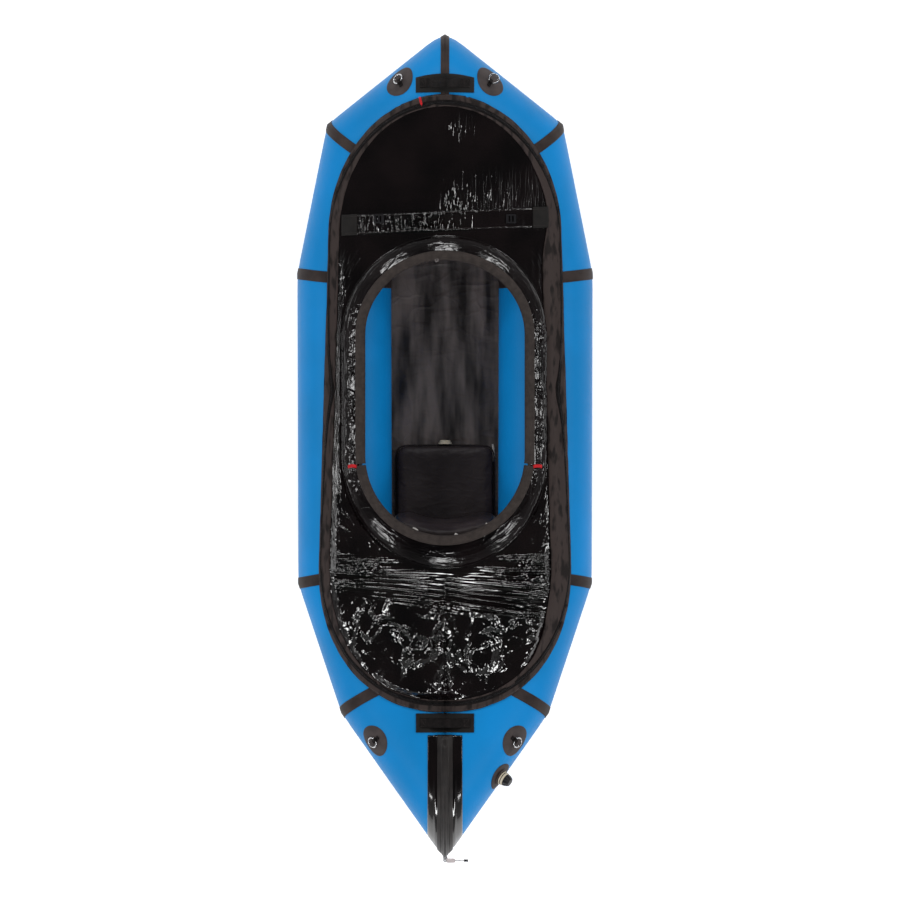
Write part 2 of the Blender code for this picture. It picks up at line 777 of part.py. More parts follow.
def coaming_collar():
    """The glossy skirt that rises from the deck to the rim, standing steeper at its foot."""
    def place(u, v):
        foot, rim = collar_line(u), rim_line(u)
        spot = foot.lerp(rim, v ** (1 + COLLAR_LEAN_SHARE))
        low = collar_height(u) + DECK_FABRIC + GAP + COLLAR_FABRIC / 2
        high = rim_height(u) - RIM_HALF_HEIGHT - GAP - COLLAR_FABRIC / 2
        spot.z = low + (high - low) * v
        return spot
    shape = mapped_sheet(DECK_COLUMNS, COLLAR_STEPS, place, wrap=True)
    collar = part.add("coaming_collar", shape, "deck_fabric")
    face_up(collar)
    solidify(collar, COLLAR_FABRIC, 0)


def rim_frame(turn):
    """A point of the rim's middle line, with its direction and the direction away from the cockpit."""
    def spot(at):
        point = rim_line(at % 1.0)
        point.z = rim_height(at % 1.0)
        return point
    step = 1.0 / (4 * DECK_COLUMNS)
    tangent = (spot(turn + step) - spot(turn - step)).normalized()
    away = Vector((-tangent.y, tangent.x, 0)).normalized()
    return spot(turn), tangent, away


def turn_at(y):
    """The turn at which the starboard side of the rim passes a distance towards the bow."""
    low, high = 0.0, 0.5
    for _ in range(40):
        middle = (low + high) / 2
        if rim_line(middle).y > y:
            low = middle
        else:
            high = middle
    return low


def coaming_rim():
    """The two fabric sleeves of the rim, open at their ends, and the rod inside each."""
    split = turn_at(RIM_SPLIT_Y)
    sleeve = turn_at(RIM_SPLIT_Y + RIM_SPLIT_GAP / 2)
    rear_sleeve = turn_at(RIM_SPLIT_Y - RIM_SPLIT_GAP / 2)
    rod = turn_at(RIM_SPLIT_Y + GAP)
    halves = (
        ("front", -sleeve, sleeve, -rod, rod, RIM_FRONT_STEPS),
        ("rear", rear_sleeve, 1 - rear_sleeve, split, 1 - split, RIM_REAR_STEPS),
    )
    for name, start, end, rod_start, rod_end, steps in halves:
        def place(u, v):
            point, tangent, away = rim_frame(start + (end - start) * u)
            around = 2 * math.pi * v
            up = away.cross(tangent)
            if up.z < 0:
                up = -up
            return point + away * RIM_HALF_WIDTH * math.cos(around) + up * RIM_HALF_HEIGHT * math.sin(around)
        shape = mapped_sheet(steps, RIM_SIDES, place, wrap=True)
        bmesh.ops.recalc_face_normals(shape, faces=shape.faces)
        obj = part.add(f"coaming_sleeve_{name}", shape, "rim_fabric")
        face_outward(obj, place(0.5, 0.25) - rim_frame(start + (end - start) * 0.5)[0])
        solidify(obj, RIM_FABRIC, -1)
        turns = [rod_start] + [start + (end - start) * step / steps for step in range(steps + 1)] + [rod_end]
        lowered = Vector((0, 0, RIM_HALF_HEIGHT - RIM_FABRIC - ROD_RADIUS - 2 * GAP))
        points = [rim_frame(turn)[0] - lowered for turn in turns]
        part.add(f"coaming_rod_{name}", wire(points, ROD_RADIUS, resolution=1), "rod_plastic")


def face_outward(obj, above):
    """Turns a sleeve's faces over if the topmost of them look down."""
    shape = bmesh.new()
    shape.from_mesh(obj.data)
    shape.faces.ensure_lookup_table()
    highest = max(shape.faces, key=lambda face: face.calc_center_median().dot(above))
    if highest.normal.dot(above) < 0:
        bmesh.ops.reverse_faces(shape, faces=shape.faces)
        shape.to_mesh(obj.data)
    shape.free()


def deck_zip():
    """The zip's chain all round the band."""
    lift = BAND_FABRIC + DECK_ZIP_LIFT + DECK_ZIP_RADIUS
    points = [line.spot(DECK_ZIP_INSET, lift) for line in deck_lines[:-1]]
    part.add("deck_zip_chain", wire(points, DECK_ZIP_RADIUS, cyclic=True, resolution=0), "zip_rubber")


def sloped_sheet(half_length, width, middle_y, height_at, columns, rows):
    """A rectangle seen from above, laid on a surface."""
    def place(u, v):
        x, y = half_length * (2 * u - 1), middle_y + width * (v - 0.5)
        return Vector((x, y, height_at(x, y)))
    return mapped_sheet(columns, rows, place)


def handles():
    """A patch across the bow and one across the stern, each with a webbing strap arched over it."""
    ends = (
        ("bow", hull.nodes[0].y + BOW_HANDLE_OFFSET),
        ("stern", hull.nodes[-1].y + STERN_HANDLE_OFFSET),
    )
    free = HANDLE_HALF_LENGTH - HANDLE_SEWN
    strap_lift = HANDLE_PATCH_LIFT + HANDLE_PATCH_FABRIC + HANDLE_LIFT
    for name, middle_y in ends:
        def patch_height(x, y):
            return hull.height(x, y, HANDLE_PATCH_LIFT)

        def strap_height(x, y):
            rise = math.cos(math.pi / 2 * min(abs(x) / free, 1)) ** 2
            return hull.height(x, y, strap_lift) + HANDLE_ARCH * rise
        patch = part.add(
            f"{name}_handle_patch",
            sloped_sheet(HANDLE_PATCH_HALF_LENGTH, HANDLE_PATCH_WIDTH, middle_y, patch_height, 12, 3),
            "webbing",
        )
        solidify(patch, HANDLE_PATCH_FABRIC, 1)
        strap = part.add(
            f"{name}_handle_strap",
            sloped_sheet(HANDLE_HALF_LENGTH, HANDLE_WIDTH, middle_y, strap_height, 16, 2),
            "webbing",
        )
        solidify(strap, HANDLE_WEBBING, 1)


def skin_patch(radius, lift, steps):
    """A round patch that follows the tube, in the frame of its middle."""
    tube = hull.corner_radius + lift

    def place(u, v):
        angle = 2 * math.pi * u
        along, across = radius * v * math.cos(angle), radius * v * math.sin(angle) / tube
        return Vector((along, tube * math.sin(across), tube * (math.cos(across) - 1)))
    shape = mapped_sheet(steps, 2, place, wrap=True)
    bmesh.ops.recalc_face_normals(shape, faces=shape.faces)
    if sum(face.normal.z for face in shape.faces) < 0:
        bmesh.ops.reverse_faces(shape, faces=shape.faces)
    return shape


def loop_profile():
    """The webbing loop's outline across its bore: an arch on two sewn tabs."""
    bed = RING_PATCH_FABRIC / 8
    axis = RING_PATCH_FABRIC + LOOP_HEIGHT
    top = RING_PATCH_FABRIC + LOOP_WEBBING
    outer = LOOP_BORE + LOOP_WEBBING
    inner_arc = [(-LOOP_BORE * math.cos(math.radians(a)), axis + LOOP_BORE * math.sin(math.radians(a)))
                 for a in range(0, 181, 30)]
    outer_arc = [(outer * math.cos(math.radians(a)), axis + outer * math.sin(math.radians(a)))
                 for a in range(0, 181, 30)]
    tab = outer + LOOP_TAB
    return [(-tab, bed), (-LOOP_BORE, bed)] + inner_arc + [(LOOP_BORE, bed), (tab, bed), (tab, top), (outer, top)] \
        + outer_arc + [(-outer, top), (-tab, top)]


def ring_fittings():
    """Four round patches, each with a webbing loop that holds a steel ring."""
    spots = (
        ("bow_starboard", 0, 1, RING_BOW_ALONG, RING_BOW_ANGLE, RING_STAND),
        ("bow_port", 0, -1, RING_BOW_ALONG, RING_BOW_ANGLE, 0),
        ("stern_starboard", 4, 1, -RING_STERN_ALONG, RING_STERN_ANGLE, 0),
        ("stern_port", 4, -1, -RING_STERN_ALONG, RING_STERN_ANGLE, 0),
    )
    across_to_x = Matrix.Rotation(math.radians(90), 4, "Z") @ Matrix.Rotation(math.radians(90), 4, "X")
    for name, section, side, along, angle, stand in spots:
        frame = hull.skin_frame(section, side, along, angle, PATCH_LIFT)
        patch = part.add(f"ring_patch_{name}", skin_patch(RING_PATCH_RADIUS, PATCH_LIFT, 16), "rubber", frame)
        solidify(patch, RING_PATCH_FABRIC, 1)
        setback = math.degrees(LOOP_SETBACK / TUBE_RADIUS)
        seat = hull.skin_frame(section, side, along, angle - setback, PATCH_LIFT)
        loop_shape = plate([loop_profile()], LOOP_LENGTH)
        loop_shape.transform(across_to_x)
        join(patch, loop_shape, seat, f"ring_loop_{name}")
        hinge = seat @ Matrix.Translation((0, 0, RING_PATCH_FABRIC + LOOP_HEIGHT))
        half = LOOP_LENGTH / 2
        sag = RING_RADIUS - math.sqrt(RING_RADIUS ** 2 - half ** 2)
        lean = Vector((0, math.cos(math.radians(stand)), math.sin(math.radians(stand))))
        middle = lean * (RING_RADIUS - sag / 2)
        points = []
        for step in range(RING_STEPS):
            turn = 2 * math.pi * step / RING_STEPS
            points.append(middle + RING_RADIUS * (Vector((math.cos(turn), 0, 0)) + lean * math.sin(turn)))
        part.add(f"ring_{name}", wire(points, RING_WIRE, cyclic=True, resolution=1), "steel", hinge)
        print(name, "hinge", [round(v, 5) for v in hinge.translation], [round(v, 5) for v in hinge.col[0][:3]])


def join(obj, shape, frame, name):
    """Unites an object with a shape that reaches into it."""
    tool = cutter(shape, frame, name)
    union = obj.modifiers.new("union", "BOOLEAN")
    union.operation = "UNION"
    union.object = tool


def cutter(shape, frame, name):
    """An object that other pieces are joined with or cut by."""
    mesh = bpy.data.meshes.new(name)
    shape.to_mesh(mesh)
    shape.free()
    tool = bpy.data.objects.new(name, mesh)
    tool.matrix_world = frame
    tool.hide_render = True
    tool.display_type = "WIRE"
    part.cutters.objects.link(tool)
    return tool


def zip_sheet(slides, lift):
    """A strip over the stern's mitre, from a line straight across the hull round to its tip."""
    node = len(hull.along)
    along = hull.along[-1]
    half_length = hull.mitre_point(node, TUBE_SIDES / 4 - 0.5, lift).y - hull.nodes[node].y
    tip = math.radians(ZIP_TIP_ANGLE)

    def place(u, v):
        slide = slides[round(u * (len(slides) - 1))]
        inner = math.asin(math.sin(math.radians(ZIP_INNER_ANGLE)) + abs(slide) * along.y / half_length)
        side = (inner + (tip - inner) * v) * TUBE_SIDES / (2 * math.pi) - 0.5
        spot = hull.mitre_point(node, side, lift, -abs(slide))
        spot.x = math.copysign(spot.x, slide)
        return spot
    return mapped_sheet(len(slides) - 1, ZIP_STEPS, place)


def stern_zip():
    """The waterproof zip over the stern's mitre: its glossy tape, and the matte chain on it."""
    chain_slides = [CHAIN_REACH * share for share in (-1, -0.5, 0, 0.5, 1)]
    outer = [(ZIP_REACH + CHAIN_REACH) / 2, ZIP_REACH]
    slides = [-outer[1], -outer[0], *chain_slides, *outer]
    tape = part.add("stern_zip_tape", zip_sheet(slides, ZIP_LIFT), "deck_fabric")
    face_up(tape)
    solidify(tape, ZIP_FABRIC, 1)
    chain_lift = ZIP_LIFT + ZIP_FABRIC + GAP
    chain = part.add("stern_zip_chain", zip_sheet(chain_slides, chain_lift), "zip_rubber")
    face_up(chain)
    solidify(chain, CHAIN_HEIGHT, 1)


def slider(name, frame, size, material):
    """A zip slider under its bail. The frame's origin is on the bail's bar, Y along the zip and Z
    away from it."""
    stand, bail = size["stand"], size["bail"]
    outline = rounded_rectangle(size["width"] / 2, size["length"] / 2, size["width"] / 4)
    shape = plate([outline], size["thick"])
    shape.transform(Matrix.Translation((0, 0, -stand - size["thick"] / 2)))
    obj = part.add(name, shape, material, frame)
    foot, shoulder = -stand - size["thick"] / 2, -stand * 0.3
    side = [(0, bail, foot), (0, bail, shoulder), (0, bail * 0.75, 0)]
    arch = [(0, -y, z) for x, y, z in side] + side[::-1]
    join(obj, wire(arch, size["wire"], resolution=1), frame, f"{name}_bail")


def pull(name, frame, size, material):
    """A slider's pull, in the frame of the slider's bail, lying along X."""
    loop, cord = size["loop"], size["cord"]
    circle = [2 * math.pi * step / LOOP_STEPS for step in range(LOOP_STEPS)]
    ring = wire([(loop * math.cos(turn), 0, loop * math.sin(turn)) for turn in circle], cord, True, 1)
    obj = part.add(name, ring, material, frame)
    length, width, thick = size["tab"]
    tab = plate([rounded_rectangle(length / 2, width / 2, size["corner"])], thick)
    tab.transform(Matrix.Translation((loop + length / 2, 0, 0)))
    join(obj, tab, frame, f"{name}_tab")
    return obj


def stern_zip_slider():
    """The slider at the stern's tip. It runs on the arc that leaves the zip's ridge where the
    slider rests and meets it again further up."""
    def on_chain(angle):
        side = math.radians(angle) * TUBE_SIDES / (2 * math.pi) - 0.5
        return hull.mitre_point(len(hull.along), side, ZIP_LIFT + ZIP_FABRIC + GAP + CHAIN_HEIGHT)

    across = Vector((1, 0, 0))
    rest, end = on_chain(STERN_SLIDER_ANGLE), on_chain(STERN_ARC_END_ANGLE)
    down = (on_chain(STERN_SLIDER_ANGLE + 1) - on_chain(STERN_SLIDER_ANGLE - 1)).normalized()
    normal = down.cross(across)
    chord = end - rest
    radius = -chord.length_squared / (2 * chord.dot(normal))
    rise = GAP + STERN_SLIDER["thick"] + STERN_SLIDER["stand"]
    frame = Matrix((across, -down, normal)).transposed().to_4x4()
    frame.translation = rest + normal * rise
    slider("stern_zip_slider", frame, STERN_SLIDER, "steel")
    obj = pull("stern_zip_pull", frame, STERN_PULL, "grey_plastic")
    cord_start = STERN_PULL["loop"] + STERN_PULL["tab"][0] - GAP
    cord = wire([(cord_start, 0, 0), (TOGGLE_X, 0, 0)], STERN_PULL["cord"], False, 1)
    join(obj, cord, frame, "stern_pull_cord")
    toggle = bmesh.new()
    bmesh.ops.create_cone(
        toggle, segments=12, radius1=TOGGLE_RADIUS, radius2=TOGGLE_RADIUS, depth=TOGGLE_LENGTH, cap_ends=True,
        matrix=Matrix.Translation((TOGGLE_X, 0, 0)) @ Matrix.Rotation(math.radians(90), 4, "Y"),
    )
    join(obj, toggle, frame, "stern_pull_toggle")
    centre = rest - normal * radius
    print("stern slider", [round(v, 5) for v in frame.translation], [round(v, 5) for v in frame.col[1][:3]],
          "arc", [round(v, 5) for v in centre])


def deck_zip_slider():
    """The slider of the deck's zip, near the bow, with its pull lying outboard."""
    lift = BAND_FABRIC + DECK_ZIP_LIFT + 2 * DECK_ZIP_RADIUS
    here = deck_lines[DECK_SLIDER_STEPS]
    before, after = deck_lines[DECK_SLIDER_STEPS - 1], deck_lines[DECK_SLIDER_STEPS + 1]
    track = (before.spot(DECK_ZIP_INSET) - after.spot(DECK_ZIP_INSET)).normalized()
    outward = here.spot(0) - here.spot(2 * DECK_ZIP_INSET)
    outward = (outward - track * outward.dot(track)).normalized()
    normal = outward.cross(track)
    frame = Matrix((outward, track, normal)).transposed().to_4x4()
    stand = 2 * GAP + DECK_SLIDER["thick"] + DECK_SLIDER["stand"]
    frame.translation = here.spot(DECK_ZIP_INSET, lift) + normal * stand
    slider("deck_zip_slider", frame, DECK_SLIDER, "black_plastic")
    pull("deck_zip_pull", frame, DECK_PULL, "red_webbing")
    print("deck slider", [round(v, 5) for v in frame.translation], [round(v, 5) for v in frame.col[1][:3]],
          [round(v, 5) for v in frame.col[2][:3]])


def inflation_valve():
    """The valve on the stern's starboard flank: a rubber flange, the ivory body and the lobed cap."""
    frame = hull.skin_frame(4, 1, -VALVE_ALONG, VALVE_ANGLE, PATCH_LIFT)
    flange = part.add("valve_flange", skin_patch(VALVE_PATCH_RADIUS, PATCH_LIFT, 20), "rubber", frame)
    solidify(flange, RING_PATCH_FABRIC, 1)
    top = RING_PATCH_FABRIC + VALVE_FLANGE_HEIGHT
    base = turned([
        (VALVE_BORE_RADIUS, RING_PATCH_FABRIC / 2), (VALVE_FLANGE_RADIUS / 2, RING_PATCH_FABRIC / 2),
        (VALVE_FLANGE_RADIUS, top / 2), (VALVE_FLANGE_RADIUS, top * 0.75), (VALVE_NECK_RADIUS, top),
        (VALVE_BORE_RADIUS, top),
    ], VALVE_STEPS)
    join(flange, base, frame, "valve_flange_boss")
    foot = top + GAP
    ring = foot + VALVE_NECK_HEIGHT
    head = ring + VALVE_COLLAR_HEIGHT
    body = turned([
        (VALVE_BORE_RADIUS, foot), (VALVE_NECK_RADIUS * VALVE_WAIST_SHARE, foot),
        (VALVE_NECK_RADIUS, foot + VALVE_NECK_HEIGHT / 3), (VALVE_NECK_RADIUS, ring - VALVE_NECK_HEIGHT / 3),
        (VALVE_NECK_RADIUS * VALVE_WAIST_SHARE, ring - VALVE_NECK_HEIGHT / 6),
        (VALVE_NECK_RADIUS * VALVE_WAIST_SHARE, ring), (VALVE_COLLAR_RADIUS, ring), (VALVE_COLLAR_RADIUS, head),
        (VALVE_BORE_RADIUS, head),
    ], VALVE_STEPS)
    part.add("valve_body", body, "ivory_plastic", frame)
    cap_foot = head + GAP
    cap_top = cap_foot + VALVE_CAP_HEIGHT
    cap = turned([
        (0, cap_top - VALVE_CAP_WALL), (VALVE_CAP_TOP_RADIUS - VALVE_CAP_WALL, cap_top - VALVE_CAP_WALL),
        (VALVE_CAP_RADIUS - 2 * VALVE_CAP_WALL, cap_foot), (VALVE_CAP_RADIUS, cap_foot),
        (VALVE_CAP_RADIUS, cap_foot + VALVE_CAP_HEIGHT / 3), (VALVE_CAP_TOP_RADIUS, cap_top - VALVE_CAP_WALL / 2),
        (VALVE_CAP_TOP_RADIUS * VALVE_CAP_ROUND_SHARE, cap_top), (0, cap_top),
    ], VALVE_STEPS)
    for vertex in cap.verts:
        reach = math.hypot(vertex.co.x, vertex.co.y)
        if reach > VALVE_CAP_TOP_RADIUS * VALVE_CAP_ROUND_SHARE and vertex.co.z > cap_foot:
            lobe = (1 - math.cos(VALVE_LOBES * math.atan2(vertex.co.y, vertex.co.x))) / 2
            vertex.co.x -= vertex.co.x / reach * VALVE_LOBE_DEPTH * lobe
            vertex.co.y -= vertex.co.y / reach * VALVE_LOBE_DEPTH * lobe
    part.add("valve_cap", cap, "black_plastic", frame)
    print("valve", [round(v, 5) for v in frame.translation], [round(v, 5) for v in frame.col[2][:3]])


def signed_power(value, power):
    """A power that keeps its base's sign."""
    return math.copysign(abs(value) ** power, value)


def cushion(half_x, half_y, half_z, roundness, flat_share, steps=28, rings=16):
    """A soft block with a crown and drawn-in sides, cut flat below. Its middle is the origin."""
    shape = bmesh.new()
    bmesh.ops.create_uvsphere(shape, u_segments=steps, v_segments=rings, radius=1.0)
    for vertex in shape.verts:
        flat = math.hypot(vertex.co.x, vertex.co.y)
        cos_turn, sin_turn = (vertex.co.x / flat, vertex.co.y / flat) if flat > WELD else (1.0, 0.0)
        level = flat ** roundness
        x = half_x * level * signed_power(cos_turn, roundness)
        y = half_y * level * signed_power(sin_turn, roundness)
        z = half_z * signed_power(vertex.co.z, roundness)
        vertex.co = (x, y, max(z, -half_z * flat_share))
    return shape


def seat():
    """The inflated seat on the floor, its valve on the front face, and the valve's cap."""
    half_z = SEAT_HEIGHT / (1 + SEAT_FLAT_SHARE)
    floor_top = FLOOR_THICKNESS + GAP
    middle = Vector((0, SEAT_FRONT_Y - SEAT_LENGTH / 2, floor_top + half_z * SEAT_FLAT_SHARE))
    shape = cushion(SEAT_WIDTH / 2, SEAT_LENGTH / 2, half_z, SEAT_ROUND_SHARE, SEAT_FLAT_SHARE)
    part.add("seat_cushion", shape, "seat_fabric", Matrix.Translation(middle))
    forward = Matrix.Rotation(math.radians(-90), 4, "X")
    frame = Matrix.Translation((0, SEAT_FRONT_Y + GAP, middle.z)) @ forward
    body = turned([
        (SEAT_VALVE_BORE, 0), (SEAT_VALVE_RADIUS, 0), (SEAT_VALVE_RADIUS, SEAT_VALVE_DEPTH),
        (SEAT_VALVE_BORE, SEAT_VALVE_DEPTH),
    ], 20)
    part.add("seat_valve", body, "ivory_plastic", frame)
    foot = SEAT_VALVE_DEPTH + GAP
    cap = turned([
        (0, foot), (SEAT_CAP_RADIUS, foot), (SEAT_CAP_RADIUS, foot + SEAT_CAP_DEPTH * 0.6),
        (SEAT_CAP_RADIUS * SEAT_CAP_ROUND_SHARE, foot + SEAT_CAP_DEPTH), (0, foot + SEAT_CAP_DEPTH),
    ], 20)
    part.add("seat_valve_cap", cap, "ivory_plastic", frame)
    print("seat valve", [round(v, 5) for v in frame.translation])


def backrest():
    """The crescent of the backrest, leaning back and cut flat where it stands on the seat. It folds
    forward about the front of its foot."""
    depth, height = BACKREST_THICKNESS / 2, BACKREST_HEIGHT / 2
    shape = cushion(BACKREST_HALF_WIDTH, depth, height, BACKREST_ROUND_SHARE, 1.0, 24, 14)
    lean = Matrix.Rotation(math.radians(BACKREST_LEAN), 3, "X")
    for vertex in shape.verts:
        vertex.co.z += BACKREST_HEIGHT / 2
        vertex.co.y += BACKREST_CURVE * (vertex.co.x / BACKREST_HALF_WIDTH) ** 2
        vertex.co = lean @ vertex.co
        vertex.co.z = max(vertex.co.z - BACKREST_FOOT_CUT, 0)
    front = max(vertex.co.y for vertex in shape.verts if vertex.co.z < BACKREST_FOOT_HEIGHT)
    for vertex in shape.verts:
        vertex.co.y -= front
    frame = Matrix.Translation((0, BACKREST_Y + front, FLOOR_THICKNESS + SEAT_HEIGHT - BACKREST_SET_IN))
    part.add("backrest", shape, "seat_fabric", frame)
    print("backrest", [round(v, 5) for v in frame.translation])


def deck_half_width(y):
    """Half the deck's width at a distance towards the bow."""
    edge = [line.outer for line in deck_lines[:DECK_COLUMNS // 2 + 1]]
    ahead, behind = next(pair for pair in zip(edge, edge[1:]) if pair[1].y <= y)
    return ahead.x + (behind.x - ahead.x) * (ahead.y - y) / (ahead.y - behind.y)


def deck_fittings(deck):
    """The cross band on the foredeck and its two buckles, laid on the deck's skin."""
    bpy.context.view_layer.update()
    graph = bpy.context.evaluated_depsgraph_get()
    skin = BVHTree.FromObject(deck, graph)

    def top(x, y):
        start = Vector((x, y, BOW_Y))
        return skin.ray_cast(start, Vector((0, 0, -1)))[0].z

    def band_height(x, y):
        return top(x, y) + CROSS_BAND_LIFT
    half_length = deck_half_width(CROSS_BAND_Y) - CROSS_BAND_SET_IN
    shape = sloped_sheet(half_length, CROSS_BAND_WIDTH, CROSS_BAND_Y, band_height, 20, 2)
    solidify(part.add("foredeck_cross_band", shape, "band_fabric"), CROSS_BAND_FABRIC, 1)
    for side, name in ((1, "starboard"), (-1, "port")):
        x = side * (half_length - BUCKLE_SET_IN)
        high = top(x, CROSS_BAND_Y) + CROSS_BAND_LIFT + CROSS_BAND_FABRIC + BUCKLE_REST + BUCKLE_THICKNESS / 2
        ahead = top(x, CROSS_BAND_Y + BUCKLE_WIDTH) - top(x, CROSS_BAND_Y - BUCKLE_WIDTH)
        aside = top(x + BUCKLE_LENGTH, CROSS_BAND_Y) - top(x - BUCKLE_LENGTH, CROSS_BAND_Y)
        forward = Vector((0, 2 * BUCKLE_WIDTH, ahead)).normalized()
        normal = Vector((2 * BUCKLE_LENGTH, 0, aside)).cross(forward).normalized()
        frame = Matrix((forward.cross(normal), forward, normal)).transposed().to_4x4()
        frame.translation = (x, CROSS_BAND_Y, high)
        outer = rounded_rectangle(BUCKLE_LENGTH / 2, BUCKLE_WIDTH / 2, BUCKLE_BAR / 2)
        slots = []
        for shift in (-1, 1):
            middle = shift * (BUCKLE_SLOT + BUCKLE_BAR) / 2
            half_y = BUCKLE_WIDTH / 2 - BUCKLE_BAR
            corners = ((1, 1), (-1, 1), (-1, -1), (1, -1))
            slots.append([(middle + BUCKLE_SLOT / 2 * a, half_y * b) for a, b in corners])
        part.add(f"deck_buckle_{name}", plate([outer] + slots, BUCKLE_THICKNESS), "black_plastic", frame)


def build():
    make_materials()
    tube_sections()
    seam_tapes()
    floor_panel()
    deck = deck_skin()
    deck_edge_band()
    deck_zip()
    deck_zip_slider()
    coaming_collar()
    coaming_rim()
    deck_fittings(deck)
    handles()
    ring_fittings()
    stern_zip()
    stern_zip_slider()
    inflation_valve()
    seat()
    backrest()


build()
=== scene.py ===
# %% [markdown]
# # A packraft, dressed over its frame
#
# A packraft is a small inflatable boat that rolls up into a backpack. This one has a spray deck: a glossy
# skin with an oval coaming that a paddler sits in. The solid model of it is loaded first, and stays as it
# is. Then each piece that shows gets a finer surface and the finish of the real material.

# %% Load the frame
from contextlib import contextmanager
from math import asin, atan2, copysign, cos, degrees, exp, hypot, pi, radians, sin, sqrt, tanh

import bmesh
import bpy
from mathutils import Matrix, Vector, noise
from mathutils.bvhtree import BVHTree
from mathutils.kdtree import KDTree
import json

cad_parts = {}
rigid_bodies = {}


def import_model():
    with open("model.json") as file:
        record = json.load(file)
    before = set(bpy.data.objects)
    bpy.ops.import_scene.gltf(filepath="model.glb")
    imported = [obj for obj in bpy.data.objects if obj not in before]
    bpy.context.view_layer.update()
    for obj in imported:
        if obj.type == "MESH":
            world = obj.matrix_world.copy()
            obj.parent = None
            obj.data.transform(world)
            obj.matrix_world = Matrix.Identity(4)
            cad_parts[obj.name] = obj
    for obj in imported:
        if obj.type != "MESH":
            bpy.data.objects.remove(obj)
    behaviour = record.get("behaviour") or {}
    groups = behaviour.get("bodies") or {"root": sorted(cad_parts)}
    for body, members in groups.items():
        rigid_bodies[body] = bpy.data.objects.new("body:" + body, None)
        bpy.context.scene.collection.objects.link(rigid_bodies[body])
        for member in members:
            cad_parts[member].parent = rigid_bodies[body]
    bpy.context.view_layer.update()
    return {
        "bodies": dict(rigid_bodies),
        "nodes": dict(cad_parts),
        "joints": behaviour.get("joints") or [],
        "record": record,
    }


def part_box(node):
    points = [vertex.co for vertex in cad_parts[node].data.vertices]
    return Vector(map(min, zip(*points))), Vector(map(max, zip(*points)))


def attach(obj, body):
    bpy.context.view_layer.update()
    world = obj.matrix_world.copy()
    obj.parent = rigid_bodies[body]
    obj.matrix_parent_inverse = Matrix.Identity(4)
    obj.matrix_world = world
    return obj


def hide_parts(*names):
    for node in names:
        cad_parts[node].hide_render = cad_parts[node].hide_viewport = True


NOISE_SEED = 11

noise.seed_set(NOISE_SEED)
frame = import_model()

# %% [markdown]
# ## The camera and the light
#
# The photograph looks straight down on the boat, from far enough away that nothing spreads towards the
# edges. A long lens high above gives that.

# %% Camera
PICTURE_PIXELS = 900
CENTRE_PIXEL = (445.0, 446.5)
MM_PER_PIXEL = 3.325
CAMERA_HEIGHT, CAMERA_REACH = 30.0, 200.0
WATERLINE = 0.16
SENSOR_WIDTH = 36.0

view_width = PICTURE_PIXELS * MM_PER_PIXEL / 1000
camera_data = bpy.data.cameras.new("camera")
camera_data.sensor_width = SENSOR_WIDTH
camera_data.lens = SENSOR_WIDTH * (CAMERA_HEIGHT - WATERLINE) / view_width
camera_data.clip_end = CAMERA_REACH
camera = bpy.data.objects.new("camera", camera_data)
camera.location = (
    (PICTURE_PIXELS / 2 - CENTRE_PIXEL[0]) * MM_PER_PIXEL / 1000,
    (CENTRE_PIXEL[1] - PICTURE_PIXELS / 2) * MM_PER_PIXEL / 1000,
    CAMERA_HEIGHT,
)
bpy.context.scene.collection.objects.link(camera)
bpy.context.scene.camera = camera
bpy.context.scene.view_settings.view_transform = "Standard"
print("lens", round(camera_data.lens, 1), "mm")

# %% [markdown]
# A node tree is easier to read when each node takes one line. One helper adds a node, sets its values and
# links its inputs. Another turns the hex colours that a designer notes down into a renderer's linear values.

# %% Two helpers for node trees
def linear(hex_colour):
    """An sRGB hex colour as linear RGBA."""
    parts = [int(hex_colour[i:i + 2], 16) / 255 for i in (1, 3, 5)]
    return (*(c / 12.92 if c <= 0.04045 else ((c + 0.055) / 1.055) ** 2.4 for c in parts), 1.0)


def add(tree, kind, inputs=None, **settings):
    """Adds a node. Its inputs are values, or what to link from: a socket, or a node for its first output."""
    made = tree.nodes.new(kind)
    for name, value in settings.items():
        setattr(made, name, value)
    for key, value in (inputs or {}).items():
        value = value.outputs[0] if isinstance(value, bpy.types.Node) else value
        if isinstance(value, bpy.types.NodeSocket):
            tree.links.new(value, made.inputs[key])
        else:
            made.inputs[key].default_value = value
    return made


# %% [markdown]
# The room is white to the camera. A glossy surface sees a ceiling that darkens from the horizon to the
# zenith, and a dull one gets an even light from all sides. The floor is white to the camera and to the
# gloss, but it throws no extra light up on the boat. Eight lamps stand in a ring, so that a crease catches
# one whichever way it faces.

# %% World
CEILING_LOW, CEILING_HIGH = 0.10, 0.72
HORIZON_LIGHT, ZENITH_LIGHT, ROOM_LIGHT = 0.34, 0.035, 0.60

world = bpy.data.worlds.new("studio")
bpy.context.scene.world = world
world.use_nodes = True
tree = world.node_tree
tree.nodes.clear()
direction = add(tree, "ShaderNodeTexCoord")
upward = add(tree, "ShaderNodeSeparateXYZ", {0: direction.outputs["Generated"]})
ceiling = add(tree, "ShaderNodeMapRange", {0: upward.outputs["Z"], 1: CEILING_LOW, 2: CEILING_HIGH,
                                           3: HORIZON_LIGHT, 4: ZENITH_LIGHT})
path = add(tree, "ShaderNodeLightPath")
soft = add(tree, "ShaderNodeMix", {0: path.outputs["Is Diffuse Ray"], 2: ceiling, 3: ROOM_LIGHT})
level = add(tree, "ShaderNodeMix", {0: path.outputs["Is Camera Ray"], 2: soft, 3: 1.0})
light = add(tree, "ShaderNodeBackground", {0: linear("#ffffff"), 1: level})
add(tree, "ShaderNodeOutputWorld", {0: light})

# %% Studio floor
STUDIO_FLOOR_SIZE, STUDIO_FLOOR_DROP = 60.0, 0.0005
FLOOR_GLOW = 0.45

